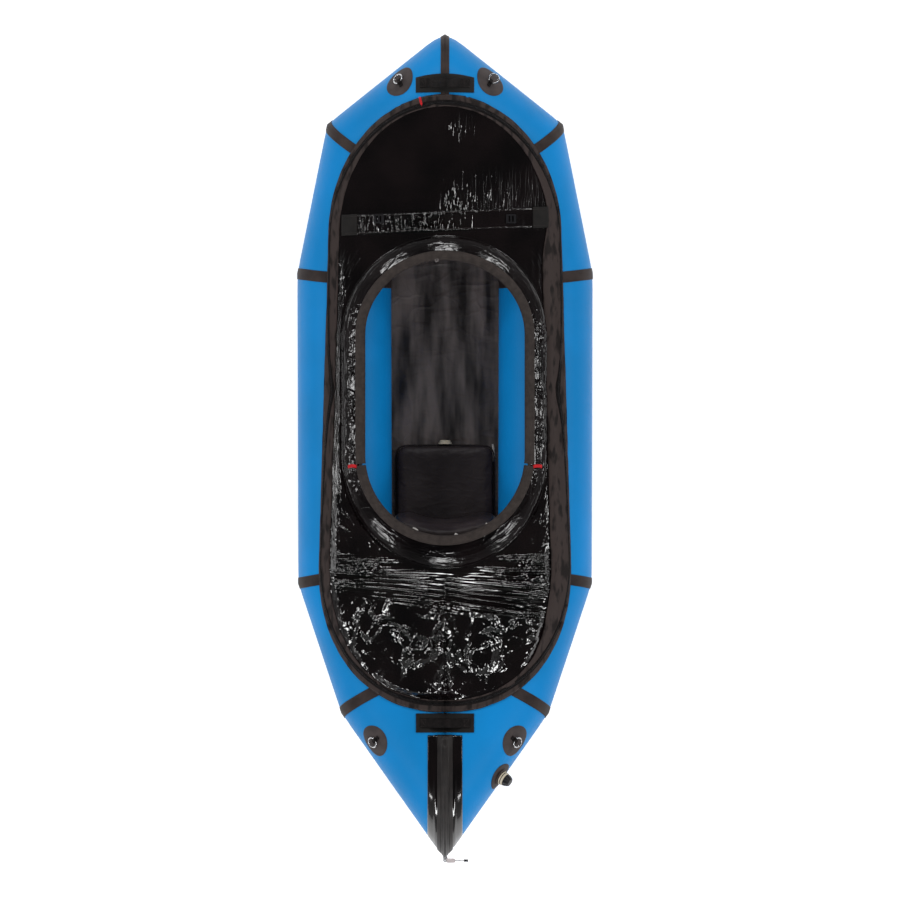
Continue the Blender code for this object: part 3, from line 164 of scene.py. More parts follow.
floor_material = bpy.data.materials.new("studio floor paint")
floor_material.use_nodes = True
tree = floor_material.node_tree
tree.nodes.clear()
matt = add(tree, "ShaderNodeBsdfDiffuse", {0: linear("#f4f4f4")})
path = add(tree, "ShaderNodeLightPath")
seen = add(tree, "ShaderNodeMath", {0: path.outputs["Is Camera Ray"], 1: path.outputs["Is Glossy Ray"]},
           operation="MAXIMUM")
glow = add(tree, "ShaderNodeEmission", {0: linear("#ffffff"), 1: FLOOR_GLOW})
lit = add(tree, "ShaderNodeAddShader", {0: matt, 1: glow})
shown = add(tree, "ShaderNodeMixShader", {0: seen, 1: matt, 2: lit})
add(tree, "ShaderNodeOutputMaterial", {0: shown})

bpy.ops.mesh.primitive_plane_add(size=STUDIO_FLOOR_SIZE, location=(0, 0, -STUDIO_FLOOR_DROP))
studio_floor = bpy.context.object
studio_floor.name = "studio_floor"
studio_floor.data.materials.append(floor_material)

# %% Lamps
LAMP_COUNT, LAMP_RING, LAMP_HEIGHT, LAMP_AIM = 8, 3.2, 2.2, 0.2
LAMP_WIDTH, LAMP_DEPTH, LAMP_WATTS = 0.90, 0.40, 17.5

for index in range(LAMP_COUNT):
    turn = 2 * pi * index / LAMP_COUNT
    place = Vector((LAMP_RING * cos(turn), LAMP_RING * sin(turn), LAMP_HEIGHT))
    lamp_data = bpy.data.lights.new(f"lamp_{index}", "AREA")
    lamp_data.shape = "RECTANGLE"
    lamp_data.size, lamp_data.size_y = LAMP_WIDTH, LAMP_DEPTH
    lamp_data.energy = LAMP_WATTS
    lamp = bpy.data.objects.new(f"lamp_{index}", lamp_data)
    lamp.location = place
    lamp.rotation_euler = (place - Vector((0, 0, LAMP_AIM))).to_track_quat("Z", "Y").to_euler()
    bpy.context.scene.collection.objects.link(lamp)
print("lamps", LAMP_COUNT)

# %% [markdown]
# ## The materials
#
# The hull is nylon cloth with a urethane coating that airtight seams are welded to. The coating gives it a
# satin sheen, and a faint grid of thicker threads shows through it, as on all ripstop cloth. Its squares are
# 5 mm wide.

# %% A material and its patterns
def material(name, colour, roughness, specular=0.5, metallic=0.0):
    """A Principled material. It returns the material, its tree and its shader."""
    made = bpy.data.materials.new(name)
    made.use_nodes = True
    tree = made.node_tree
    shader = tree.nodes["Principled BSDF"]
    shader.inputs["Base Color"].default_value = linear(colour)
    shader.inputs["Roughness"].default_value = roughness
    shader.inputs["Specular IOR Level"].default_value = specular
    shader.inputs["Metallic"].default_value = metallic
    return made, tree, shader


def object_place(tree, scale=(1, 1, 1)):
    """Object coordinates in metres, stretched by a scale."""
    where = add(tree, "ShaderNodeTexCoord")
    return add(tree, "ShaderNodeMapping", {0: where.outputs["Object"], "Scale": scale})


def bump(tree, shader, height, distance, strength=1.0):
    """Raises a pattern by a distance in metres."""
    raised = add(tree, "ShaderNodeBump", {"Strength": strength, "Distance": distance, "Height": height})
    tree.links.new(raised.outputs[0], shader.inputs["Normal"])


def mottle(tree, shader, colour, other, per_metre, low=0.35, high=0.65, detail=4.0, where=None):
    """Lets a colour drift to another in soft patches, so many to a metre."""
    place = where or object_place(tree)
    cloud = add(tree, "ShaderNodeTexNoise", {"Vector": place, "Scale": per_metre, "Detail": detail})
    share = add(tree, "ShaderNodeMapRange", {0: cloud, 1: low, 2: high})
    mixed = add(tree, "ShaderNodeMix", {0: share, 6: linear(colour), 7: linear(other)},
                data_type="RGBA")
    tree.links.new(mixed.outputs[2], shader.inputs["Base Color"])


# %% Coated ripstop nylon, blue
RIPSTOP_SPACING = 0.005
THREAD_EDGE, THREAD_SHARE = 0.42, 0.12
WAVES_PER_METRE = 22.0
HULL_RELIEF = 0.0009

hull_cloth, tree, shader = material("coated ripstop nylon, blue", "#0b79ba", 0.40, 0.10)
mottle(tree, shader, "#0a75b3", "#0c7ec2", 3.0)
threads = add(tree, "ShaderNodeTexVoronoi", {"Vector": object_place(tree), "Scale": 1 / RIPSTOP_SPACING,
                                             "Randomness": 0.0}, distance="CHEBYCHEV", feature="F1")
grid = add(tree, "ShaderNodeMapRange", {0: threads.outputs["Distance"], 1: THREAD_EDGE, 2: 0.5})
waves = add(tree, "ShaderNodeTexNoise", {"Vector": object_place(tree), "Scale": WAVES_PER_METRE,
                                         "Detail": 3.0})
both = add(tree, "ShaderNodeMath", {0: grid, 1: THREAD_SHARE, 2: waves},
           operation="MULTIPLY_ADD")
bump(tree, shader, both, HULL_RELIEF, 0.6)

# %% [markdown]
# Seam tape is a narrow strip of polyester cloth with a film that melts at the weld. Hot air and a roller
# press it down, which leaves it dull with a fine grain. The band round the deck is a heavier woven cloth. It
# is matt as well, and it creases at a slant where it bends round the tubes. The shade in those creases is
# painted into its colour as darker streaks.

# %% Welded tape and band cloth
TAPE_GRAINS_PER_METRE = 420.0
WEAVE_PER_METRE = 90.0
CREASE_SHADE_PER_METRE = (60, 16, 16)
MATT_RELIEF = 0.0004

tape_cloth, tree, shader = material("welded seam tape, dark", "#2b2423", 0.60, 0.15)
mottle(tree, shader, "#261f1e", "#382f2d", 14.0)
grain = add(tree, "ShaderNodeTexNoise", {"Vector": object_place(tree), "Scale": TAPE_GRAINS_PER_METRE,
                                         "Detail": 2.0})
bump(tree, shader, grain, MATT_RELIEF, 0.5)

band_cloth, tree, shader = material("coated band cloth, matt", "#292221", 0.62, 0.20)
# Painted shade: dark streaks in the band's colour stand in for the shade in its creases.
mottle(tree, shader, "#1a1413", "#352c2a", 1.0, 0.36, 0.50, 2.0, object_place(tree, CREASE_SHADE_PER_METRE))
weave = add(tree, "ShaderNodeTexWave", {"Vector": object_place(tree), "Scale": WEAVE_PER_METRE,
                                        "Distortion": 1.5, "Detail": 1.0})
bump(tree, shader, weave, MATT_RELIEF, 0.35)

# %% [markdown]
# The deck is the same kind of cloth with a thick glossy coating on its outer face. When it is rolled up and
# unrolled again, the coating keeps a net of sharp creases. Each crease tips the surface a little, so that it
# catches a lamp, and the flat parts between them stay black. The material draws four kinds of them: streaks
# across the boat behind the cockpit, streaks beside the coaming, upright streaks where the foredeck was
# scuffed, and the borders of crushed cells. An attribute of the mesh says how much of each a place has.


# %% Streaks and crushed cells
def relief(tree, shader, *layers):
    """Raises the surface by a sum of patterns. Each has its height in metres, and may name the attribute of
    the mesh that says how much of it a place has."""
    level = 0.0
    for pattern, height, *weights in layers:
        raised = add(tree, "ShaderNodeMath", {0: pattern, 1: height}, operation="MULTIPLY")
        for weight in weights:
            allowed = add(tree, "ShaderNodeAttribute", attribute_name=weight)
            raised = add(tree, "ShaderNodeMath", {0: raised, 1: allowed.outputs["Fac"]}, operation="MULTIPLY")
        level = add(tree, "ShaderNodeMath", {0: level, 1: raised})
    bump(tree, shader, level, 1.0)


def streaks(tree, where, along, across, detail=3.0):
    """Sharp ridges: so many a metre along them and across them."""
    stretched = add(tree, "ShaderNodeMapping", {0: where, "Scale": (along, across, along)})
    cloud = add(tree, "ShaderNodeTexNoise", {"Vector": stretched, "Scale": 1.0, "Detail": detail,
                                             "Distortion": 0.3})
    away = add(tree, "ShaderNodeMath", {0: cloud, 1: 0.5}, operation="SUBTRACT")
    size = add(tree, "ShaderNodeMath", {0: away}, operation="ABSOLUTE")
    return add(tree, "ShaderNodeMapRange", {0: size, 1: 0.0, 2: 0.14, 3: 1.0, 4: 0.0})


def crushed_cells(tree, where, per_metre, border=0.10):
    """Cells with raised borders, bent by a soft noise."""
    drift = add(tree, "ShaderNodeTexNoise", {"Vector": where, "Scale": per_metre * 0.7, "Detail": 2.0})
    bend = add(tree, "ShaderNodeVectorMath", {0: drift.outputs["Color"], "Scale": 0.9 / per_metre},
               operation="SCALE")
    moved = add(tree, "ShaderNodeVectorMath", {0: where, 1: bend})
    cells = add(tree, "ShaderNodeTexVoronoi", {"Vector": moved, "Scale": per_metre},
                feature="DISTANCE_TO_EDGE")
    ridge = add(tree, "ShaderNodeMapRange", {0: cells.outputs["Distance"], 1: 0.0, 2: border, 3: 1.0, 4: 0.0})
    return ridge


# %% [markdown]
# The coating is urethane that was cast on a smooth roller. It is nearly a mirror, with a roughness of about
# 0.1, so the deck's black comes from a dark ceiling and its white from the lamps. The collar was folded more
# often. Its coating is a little duller, and its creases are deeper.


# %% Glossy coated deck cloth
def coated_cloth(name, roughness, specular, depth):
    """Black nylon with a glossy coating, and the creases that its mesh's attributes allow."""
    made, tree, shader = material(name, "#070405", roughness, specular)
    mottle(tree, shader, "#050304", "#110b0c", 6.0)
    plan, cloth_map = object_place(tree), add(tree, "ShaderNodeUVMap")
    relief(
        tree, shader,
        (streaks(tree, plan, 4.0, 44.0, 1.0), 0.0012 * depth, "folds"),
        (crushed_cells(tree, plan, 30.0, 0.30), 0.0009 * depth, "crushed"),
        (streaks(tree, plan, 20.0, 24.0, 2.0), 0.0006 * depth, "crushed"),
        (streaks(tree, cloth_map, 9.0, 46.0, 2.0), 0.0007 * depth, "ridges"),
        (streaks(tree, plan, 95.0, 10.0, 1.0), 0.0015 * depth, "scuffs"),
        (crushed_cells(tree, plan, 9.0, 0.02), 0.00010 * depth),
    )
    return made


deck_cloth = coated_cloth("glossy urethane on nylon, black", 0.10, 1.0, 1.0)
collar_cloth = coated_cloth("creased urethane on nylon, black", 0.12, 0.42, 1.3)

# %% [markdown]
# The floor is a heavy cloth with a thick coating on both sides. It is charcoal and half glossy. Its colour
# has long soft streaks from bow to stern, painted sheen and painted shade for its folds, and it is painted
# lighter overall to make up for the shade of the cockpit's walls.

# %% Coated floor cloth
SHEEN_AND_SHADE_STREAKS_PER_METRE = (19, 3.2, 1)

floor_cloth, tree, shader = material("coated floor cloth, charcoal", "#544946", 0.36, 0.8)
# Painted sheen and painted shade: pale and dark streaks along the boat stand in for the highlights and the
# shade of the floor's folds, on a colour painted lighter than the charcoal cloth.
mottle(tree, shader, "#2f2725", "#7d706b", 1.0, 0.36, 0.62, 3.0, object_place(tree, SHEEN_AND_SHADE_STREAKS_PER_METRE))
plan = object_place(tree)
relief(tree, shader, (streaks(tree, plan, 7.0, 16.0, 1.0), 0.0022), (crushed_cells(tree, plan, 13.0), 0.0009))

# %% [markdown]
# Webbing, lace and the sleeve of the rim are woven from thick yarn. Their ribs, 1 to 2 mm apart, break up
# any highlight, so that they look dull from every side. The yarn is nylon or polyester, dyed right through.


# %% Woven webbing, lace and thread
def webbing(name, colour, other, rib, depth):
    """A ribbed tape: ribs across it, with the crossing of two diagonals for the weave."""
    made, tree, shader = material(name, colour, 0.78, 0.2)
    mottle(tree, shader, colour, other, 60.0)
    ribs, cross = (
        add(tree, "ShaderNodeTexWave", {"Vector": object_place(tree), "Scale": 0.5 / rib, "Distortion": 0.4},
            bands_direction=direction)
        for direction in ("X", "DIAGONAL")
    )
    woven = add(tree, "ShaderNodeMath", {0: ribs, 1: cross}, operation="MULTIPLY")
    bump(tree, shader, woven, depth)
    return made


black_webbing = webbing("nylon webbing, black", "#0d0a0a", "#181313", 0.0022, 0.0005)
rim_cloth = webbing("woven coaming cloth, matt", "#302a28", "#3b3431", 0.0016, 0.0004)
red_webbing = webbing("polyester webbing, red", "#a5141a", "#c4242a", 0.0012, 0.0003)
seam_thread = webbing("bonded thread, dark grey", "#3c3635", "#4c4543", 0.0012, 0.0002)
white_lace = webbing("braided lace, white", "#b9b3ae", "#d8d3cd", 0.0010, 0.0003)
grey_piping = webbing("piping tape, grey", "#55504f", "#6b6665", 0.0012, 0.0003)


# %% [markdown]
# Rubber, urethane, nylon and acetal parts come out of a polished or a fine sandblasted mould. They have one
# even colour and a pebble of 1 to 2 mm, too shallow to see except as a softer highlight. Soft rubber is the
# dullest and hard acetal the glossiest. The rings are drawn stainless wire, which keeps the lines of the
# die.


# %% Moulded rubber and plastics, and steel
MOULD_PEBBLES, RUBBER_PEBBLES = 900.0, 500.0
PEBBLE_RELIEF = 0.00012


def moulded(name, colour, other, roughness, pebbles_per_metre=MOULD_PEBBLES):
    """A moulded part: an even colour with a fine pebble from the mould."""
    made, tree, shader = material(name, colour, roughness, 0.35)
    mottle(tree, shader, colour, other, 30.0)
    pebble = add(tree, "ShaderNodeTexNoise", {"Vector": object_place(tree), "Scale": pebbles_per_metre,
                                              "Detail": 1.0})
    bump(tree, shader, pebble, PEBBLE_RELIEF, 0.6)
    return made


patch_rubber = moulded("welded patch, grey-brown rubber", "#312a2a", "#3e3635", 0.68, RUBBER_PEBBLES)
zip_plastic = moulded("zip chain, extruded urethane", "#1c1919", "#272322", 0.46)
black_nylon = moulded("moulded nylon, black", "#0e0d10", "#161519", 0.42)
handle_cloth = moulded("welded handle patch, black rubber", "#0c0908", "#15110f", 0.68, RUBBER_PEBBLES)
ivory_plastic = moulded("moulded acetal, ivory", "#c9bda6", "#d9cfba", 0.40)
grey_plastic = moulded("moulded pull, pale grey", "#a49b9c", "#b9b0b1", 0.50)
rod_plastic = moulded("fibreglass rod, dark", "#2f2f31", "#3a3a3d", 0.45)

ring_steel, tree, shader = material("stainless steel wire", "#c9cacd", 0.22, metallic=1.0)
mottle(tree, shader, "#b9babd", "#d6d7da", 120.0)

# %% [markdown]
# The seat and the backrest are bags of light nylon. The face is brushed, so that it is soft to sit on, and
# that nap scatters the light to an even dark grey. Only shallow creases show.

# %% Brushed cloth
seat_cloth, tree, shader = material("brushed coated cloth, black", "#2f2727", 0.50, 0.35)
mottle(tree, shader, "#292122", "#382f2f", 8.0)
plan = object_place(tree)
relief(tree, shader, (streaks(tree, plan, 14.0, 34.0, 1.0), 0.0008),
       (crushed_cells(tree, plan, 26.0), 0.0004))
print("materials", len(bpy.data.materials))

# %% [markdown]
# ## The line of the hull
#
# A packraft's tube is sewn and welded from straight sleeves of cloth, cut at an angle where they meet, as a
# picture frame is. The outline below gives the boat's outer edge. The axis of the tube runs inside it, and
# every mitre plane halves the angle between two sleeves. The deck, the tapes, the rings and the zips are all
# placed with the same rule, which keeps them on the skin.

# %% Corners of the outline and the tube's size
OUTLINE = ((0, 1.3742), (0.390, 1.070), (0.490, 0.575), (0.487, -0.455), (0.343, -0.886), (0, -1.368))
RISES = (0.120, 0.028, 0, 0, 0.018, 0.085)
TUBE_RADIUS = 0.155
TUBE_FACETS = 28
SKIN_RADIUS = TUBE_RADIUS / cos(pi / TUBE_FACETS)
FLOOR_FABRIC = 0.0015
GAP = 0.0003
TIP_PULL, TIP_REACH, TIP_SHARPNESS = 0.012, 0.030, 8


def inset_corner(before, corner, after, distance):
    """A corner of the outline, moved inboard by the distance from both of its edges."""
    first, second = (corner - before).normalized(), (after - corner).normalized()
    normals = Vector((first.y, -first.x)), Vector((second.y, -second.x))
    return corner + (normals[0] + normals[1]) * distance / (1 + normals[0].dot(normals[1]))


class Hull:
    """The axis of the starboard tube from bow to stern, its mitre planes, and each sleeve's axes."""

    def __init__(self):
        outline = [Vector(corner) for corner in OUTLINE]
        mirror = Vector((-1, 1))
        line = [outline[1] * mirror, *outline, outline[-2] * mirror]
        level = FLOOR_FABRIC + GAP + TUBE_RADIUS
        self.nodes = []
        for index, rise in enumerate(RISES):
            spot = inset_corner(*line[index:index + 3], TUBE_RADIUS)
            self.nodes.append(Vector((spot.x, spot.y, level + rise)))
        self.along = [(b - a).normalized() for a, b in zip(self.nodes, self.nodes[1:])]
        inner = [(a + b).normalized() for a, b in zip(self.along, self.along[1:])]
        self.mitres = [Vector((1, 0, 0)), *inner, Vector((-1, 0, 0))]
        self.up = [None, None, Vector((0, 0, 1)), None, None]
        for section, beside, node in ((1, 2, 2), (0, 1, 1), (3, 2, 3), (4, 3, 4)):
            mitre, above = self.mitres[node], self.up[beside]
            self.up[section] = above - 2 * above.dot(mitre) * mitre
        self.outboard = [up.cross(along) for up, along in zip(self.up, self.along)]

    def normal(self, section, angle):
        """The direction out of a sleeve, turned from its crest outboard."""
        return cos(angle) * self.up[section] + sin(angle) * self.outboard[section]

    def cut(self, section, node, angle, lift):
        """Where a line along a sleeve's skin meets the mitre at a node."""
        along, mitre = self.along[section], self.mitres[node]
        spoke = (SKIN_RADIUS + lift) * self.normal(section, angle)
        return self.nodes[node] + spoke - along * (spoke.dot(mitre) / along.dot(mitre))

    def at_mitre(self, node, angle, lift, slide=0.0):
        """A point of the skin on a mitre, which can slide along the tube towards the stern."""
        last = len(self.along) - 1
        towards = self.along[min(max(node - (slide < 0), 0), last)]
        return self.cut(min(node, last), node, angle, lift) + towards * slide

    def point(self, section, share, angle, lift):
        """A point of the skin between the two mitres of a sleeve."""
        start, end = (self.cut(section, node, angle, lift) for node in (section, section + 1))
        return start.lerp(end, share)

    def skin_frame(self, section, side, along, angle, lift):
        """A frame on the skin: X along the tube, Y down its outboard flank, Z out of it."""
        normal = self.normal(section, radians(angle))
        flank = self.normal(section, radians(angle + 90))
        start = self.nodes[section if along > 0 else section + 1] + self.along[section] * along
        spot, axis = start + normal * (SKIN_RADIUS + lift), self.along[section].copy()
        if side < 0:
            for vector in (normal, flank, spot, axis):
                vector.x = -vector.x
            axis = -axis
        frame = Matrix((axis, flank, normal)).transposed().to_4x4()
        frame.translation = spot
        return frame

    def height(self, x, y, lift):
        """The height of the tubes' round above a point of the plan, or None beside them."""
        flat = Vector((abs(x), y, 0))
        for section, along in enumerate(self.along):
            start, end = self.nodes[section], self.nodes[section + 1]
            apart = flat - Vector((start.x, start.y, 0))
            rising = Vector((0, 0, 1)) - along * along.z
            level = apart - along * apart.dot(along)
            a, b = rising.dot(rising), level.dot(rising)
            c = level.dot(level) - (SKIN_RADIUS + lift) ** 2
            if b * b - a * c < 0:
                continue
            spot = Vector((flat.x, y, start.z + (-b + sqrt(b * b - a * c)) / a))
            if (spot - start).dot(self.mitres[section]) >= 0 >= (spot - end).dot(self.mitres[section + 1]):
                return spot.z
        return None


def blunt(spot):
    """Rounds the two tips of the boat: cloth can't hold a sharp corner under pressure."""
    at_tip = min(abs(spot.y) / OUTLINE[0][1], 1) ** TIP_SHARPNESS
    pull = TIP_PULL * exp(-(spot.x / TIP_REACH) ** 2) * at_tip
    return Vector((spot.x, spot.y - copysign(pull, spot.y), spot.z))


hull = Hull()
print("axis of the tube", [tuple(round(v, 3) for v in node) for node in hull.nodes])

# %% [markdown]
# ## Making a piece
#
# Most pieces here are cloth, so most meshes are sheets: a grid of points that a small function places in
# space. The grid's own rows and columns, in metres, become the UV map. A pattern that has to follow the
# cloth, such as the creases of the deck, reads that map.


# %% Small sums that many pieces need
MERGE_DISTANCE = 1e-6


def smoothstep(low, high, value):
    """0 below the low end, 1 above the high end, and a soft rise between them."""
    share = min(max((value - low) / (high - low), 0.0), 1.0)
    return share * share * (3 - 2 * share)


def signed_power(value, power):
    """A power that keeps the sign. It turns a circle's sine and cosine into those of a rounded square."""
    return copysign(abs(value) ** power, value)


def shares(steps):
    return [step / steps for step in range(steps + 1)]


def circle_turns(steps):
    return [2 * pi * step / steps for step in range(steps)]


def ripple(spot, along_x, along_y, level):
    """Smooth noise over the plan, from about -1 to 1. Each level has a noise of its own."""
    return noise.noise(Vector((spot.x * along_x, spot.y * along_y, level)))


# %% Sheets and walls
def piece(mesh, name, finish):
    """An object for a mesh, with its material, in the scene."""
    obj = bpy.data.objects.new(name, mesh)
    mesh.name = name
    mesh.materials.clear()
    mesh.materials.append(finish)
    mesh.shade_smooth()
    bpy.context.scene.collection.objects.link(obj)
    return obj


def sheet(name, finish, columns, rows, place, size=(1.0, 1.0), wrap=False, weights=None):
    """A grid of points as a piece. The map's unit is the metre, for a cloth of that size."""
    count = columns if wrap else columns + 1
    points = [place(column / columns, row / rows) for row in range(rows + 1) for column in range(count)]
    faces, maps = [], []
    for row in range(rows):
        for column in range(columns):
            cells = ((column, row), (column + 1, row), (column + 1, row + 1), (column, row + 1))
            faces.append([r * count + c % count for c, r in cells])
            maps.extend((size[0] * c / columns, size[1] * r / rows) for c, r in cells)
    mesh = bpy.data.meshes.new(name)
    mesh.from_pydata(points, [], faces)
    layer = mesh.uv_layers.new(name="cloth")
    layer.data.foreach_set("uv", [value for pair in maps for value in pair])
    for title, weight in (weights or {}).items():
        values = [weight(Vector(point)) for point in points]
        mesh.attributes.new(title, "FLOAT", "POINT").data.foreach_set("value", values)
    mesh.validate()
    return piece(mesh, name, finish)


def thicken(obj, thickness, offset=1.0):
    """Gives a sheet its thickness, outwards unless told otherwise."""
    wall = obj.modifiers.new("thickness", "SOLIDIFY")
    wall.thickness, wall.offset, wall.use_even_offset = thickness, offset, False
    return obj


# %% Faces that point the right way
@contextmanager
def reshaping(mesh):
    """Opens a mesh for editing, and writes the changes back."""
    shape = bmesh.new()
    shape.from_mesh(mesh)
    yield shape
    shape.to_mesh(mesh)
    shape.free()


def facing(obj, outward):
    """Turns an open sheet over if its faces look against the direction that a function gives for each."""
    with reshaping(obj.data) as shape:
        if sum(face.normal.dot(outward(face)) * face.calc_area() for face in shape.faces) < 0:
            bmesh.ops.reverse_faces(shape, faces=shape.faces)
    return obj


def faces_up(obj):
    return facing(obj, lambda face: Vector((0, 0, 1)))


def sealed(obj, distance=MERGE_DISTANCE):
    """Closes the seams and poles of a solid shape, and points its faces outwards."""
    with reshaping(obj.data) as shape:
        bmesh.ops.remove_doubles(shape, verts=shape.verts, dist=distance)
        bmesh.ops.recalc_face_normals(shape, faces=shape.faces)
    obj.data.shade_smooth()
    return obj


# %% Bookkeeping for the frame
def settle(obj, slot, *nodes, body="hull"):
    """Hangs a piece on its CAD body and hides the CAD nodes it stands for. The slot, a name for its finish,
    is not used.
    """
    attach(obj, body)
    if nodes:
        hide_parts(*nodes)


# %% [markdown]
# ## The inflated hull
#
# Each sleeve is a round tube between two mitres. Pressure can't round a seam, so the mitres stay visible as
# creases, and the welded tape holds them a little below the skin beside them. Small puckers run out from the
# inner side of each bend, where there is more cloth than the curve needs. One mesh holds all the sleeves,
# because they are one airtight skin.

# %% The inflated tube
ROUND_STEPS = 96
SLEEVE_SHARES = (0, 0.004, 0.012, 0.026, 0.05, 0.09, 0.15, 0.24, 0.37, 0.5)
SEAM_DIP = 0.0016
SEAM_REACH = 0.020
PUCKER_HEIGHT = 0.0013
PUCKER_REACH = 0.045
PUCKERS = 22
TWIN_DISTANCE = 0.0002
HULL_MAP = (2 * pi * SKIN_RADIUS, 3.1)


def skin_lift(section, share, angle):
    """How far the cloth stands off the plain round: pulled in at a seam, puckered beside it."""
    length = (hull.nodes[section + 1] - hull.nodes[section]).length
    lift = 0.0
    for node, away in ((section, share * length), (section + 1, (1 - share) * length)):
        drift = noise.noise(Vector((angle * 3, node * 7.3, section)))
        inner = max(-sin(angle), 0) ** 0.5 if 0 < node < 5 else 0.3
        wave = cos(PUCKERS * angle + 4 * drift)
        lift -= SEAM_DIP * exp(-(away / SEAM_REACH) ** 2)
        lift += PUCKER_HEIGHT * inner * wave * exp(-(away / PUCKER_REACH) ** 2)
    return lift


def skin_place(u, v):
    """The skin of the starboard tube, row by row from bow to stern."""
    section, share = hull_rows[round(v * (len(hull_rows) - 1))]
    angle = 2 * pi * u
    return blunt(hull.point(section, share, angle, skin_lift(section, share, angle)))


SIDES = {"starboard": 1, "port": -1}
SLEEVES = ("bow", "shoulder", "side", "quarter", "stern")
stops = [*SLEEVE_SHARES, *(1 - share for share in reversed(SLEEVE_SHARES[:-1]))]
hull_rows = [(section, share) for section in range(5) for share in (stops if section == 4 else stops[:-1])]
tube = sheet("inflated_hull", hull_cloth, ROUND_STEPS, len(hull_rows) - 1, skin_place, HULL_MAP, wrap=True)
with reshaping(tube.data) as shape:
    geometry = shape.verts[:] + shape.edges[:] + shape.faces[:]
    bmesh.ops.mirror(shape, geom=geometry, merge_dist=0.0, axis="X")
sealed(tube, TWIN_DISTANCE)
settle(tube, "blue_fabric", *(f"tube_{sleeve}_{side}" for sleeve in SLEEVES for side in SIDES))
print("hull faces", len(tube.data.polygons))

# %% [markdown]
# ## Tapes over the seams
#
# Every mitre is sealed with a tape that is welded on from outside. The tape is stiffer than the skin, so it
# lies flat across the crease and shows a thin edge. Each strip is laid from the mitre outwards to both
# sides.

# %% Seam tapes
TAPE_REACH = 0.0185
TAPE_FABRIC = 0.0006
TAPE_LIFT = 0.0004
TAPE_FROM, TAPE_TO = -160.0, 160.0
STERN_TAPE_FROM = 86.0
TAPE_STEPS, TAPE_COLUMNS = 72, 8
TAPE_LENGTH = 0.86
TAPE_WAVER = 0.03


def seam_tape(title, node, way, start):
    """A strip over one mitre, from an angle beside the crest to one below the tube."""
    def place(u, v):
        angle = radians(start + (TAPE_TO - start) * v)
        away = TAPE_REACH * (2 * u - 1)
        edge = 1 + TAPE_WAVER * noise.noise(Vector((v * 14, node, way * 3 + away * 50)))
        if 0 < node < 5:
            spot = hull.at_mitre(node, angle, TAPE_LIFT, away * edge)
            return blunt(Vector((way * spot.x, spot.y, spot.z)))
        inboard = abs(away) if node == 0 else -abs(away)
        spot = hull.at_mitre(node, angle, TAPE_LIFT, inboard * edge)
        return blunt(Vector((copysign(spot.x, away), spot.y, spot.z)))
    centre = hull.nodes[node] * Vector((way, 1, 1))
    obj = sheet(f"tape_{title}", tape_cloth, TAPE_COLUMNS, TAPE_STEPS, place, (2 * TAPE_REACH, TAPE_LENGTH))
    facing(obj, lambda face: face.calc_center_median() - centre)
    return thicken(obj, TAPE_FABRIC)


for node, title in ((1, "shoulder"), (2, "front"), (3, "rear"), (4, "quarter")):
    for side, way in SIDES.items():
        strip = seam_tape(f"{title}_{side}", node, way, TAPE_FROM)
        settle(strip, "seam_tape", f"{title}_seam_tape_{side}")
for title, node, start in (("bow", 0, TAPE_FROM), ("stern", 5, STERN_TAPE_FROM)):
    strip = seam_tape(title, node, 1, start)
    settle(strip, "seam_tape", f"{title}_seam_tape")

# %% [markdown]
# ## The line of the deck
#
# The spray deck is pulled tight over the tubes and up to the coaming, as a drum skin is. So each line across
# it, from its edge to the coaming, lies as a tight cord would: it follows the round of the tube and then
# goes straight. The cord's path is the upper hull of the tube's heights along that line.

# %% Outlines of the deck, the collar and the rim
DECK_LIFT = 0.0028
DECK_BOW_SETBACK, DECK_BOW_ARC, DECK_BOW_OVERHANG = 0.016, 0.462, 0.051
DECK_STERN_SETBACK, DECK_STERN_ARC, DECK_STERN_OVERHANG = 0.222, 0.480, 0.086
DECK_POWER = 2.2
COCKPIT_FRONT_Y, COCKPIT_REAR_Y, COCKPIT_SET_IN = 0.630, -0.310, 0.052573
COCKPIT_FRONT_ARC, COCKPIT_REAR_ARC = 0.262, 0.283
COLLAR_SIDE_FLARE, COLLAR_FRONT_FLARE, COLLAR_REAR_FLARE = 0.0585, 0.064, 0.090
COLLAR_HEIGHT, COLLAR_SIDE_RISE, COLLAR_FRONT_RISE, COLLAR_REAR_RISE = 0.050, 0.004, 0.058, 0.018
COLLAR_FOOT = 0.008
DECK_FABRIC = 0.0012
ARC_STEPS, SIDE_STEPS = 16, 8
COCKPIT_HALF = min(hull.nodes[2].x, hull.nodes[3].x) - COCKPIT_SET_IN


QUARTER = radians(90)


def egg(turn, front_y, rear_y, front_arc, rear_arc, front_half, rear_half, rear_power=2.0):
    """A point of an egg shape from above, straight at its sides. The turn runs clockwise from the bow."""
    turn %= 1.0
    port = turn > 0.5
    spot = (1 - turn if port else turn) * 2 * (2 * ARC_STEPS + SIDE_STEPS)
    side_start, side_end = front_y - front_arc, rear_y + rear_arc
    if spot <= ARC_STEPS:
        angle = QUARTER * spot / ARC_STEPS
        x, y = front_half * sin(angle), side_start + front_arc * cos(angle)
    elif spot <= ARC_STEPS + SIDE_STEPS:
        share = (spot - ARC_STEPS) / SIDE_STEPS
        x, y = front_half + (rear_half - front_half) * share, side_start + (side_end - side_start) * share
    else:
        angle = QUARTER * (2 * ARC_STEPS + SIDE_STEPS - spot) / ARC_STEPS
        power = 2.0 / rear_power
        x = rear_half * max(sin(angle), 0) ** power
        y = side_end - rear_arc * max(cos(angle), 0) ** power
    return Vector((-x if port else x, y, 0))


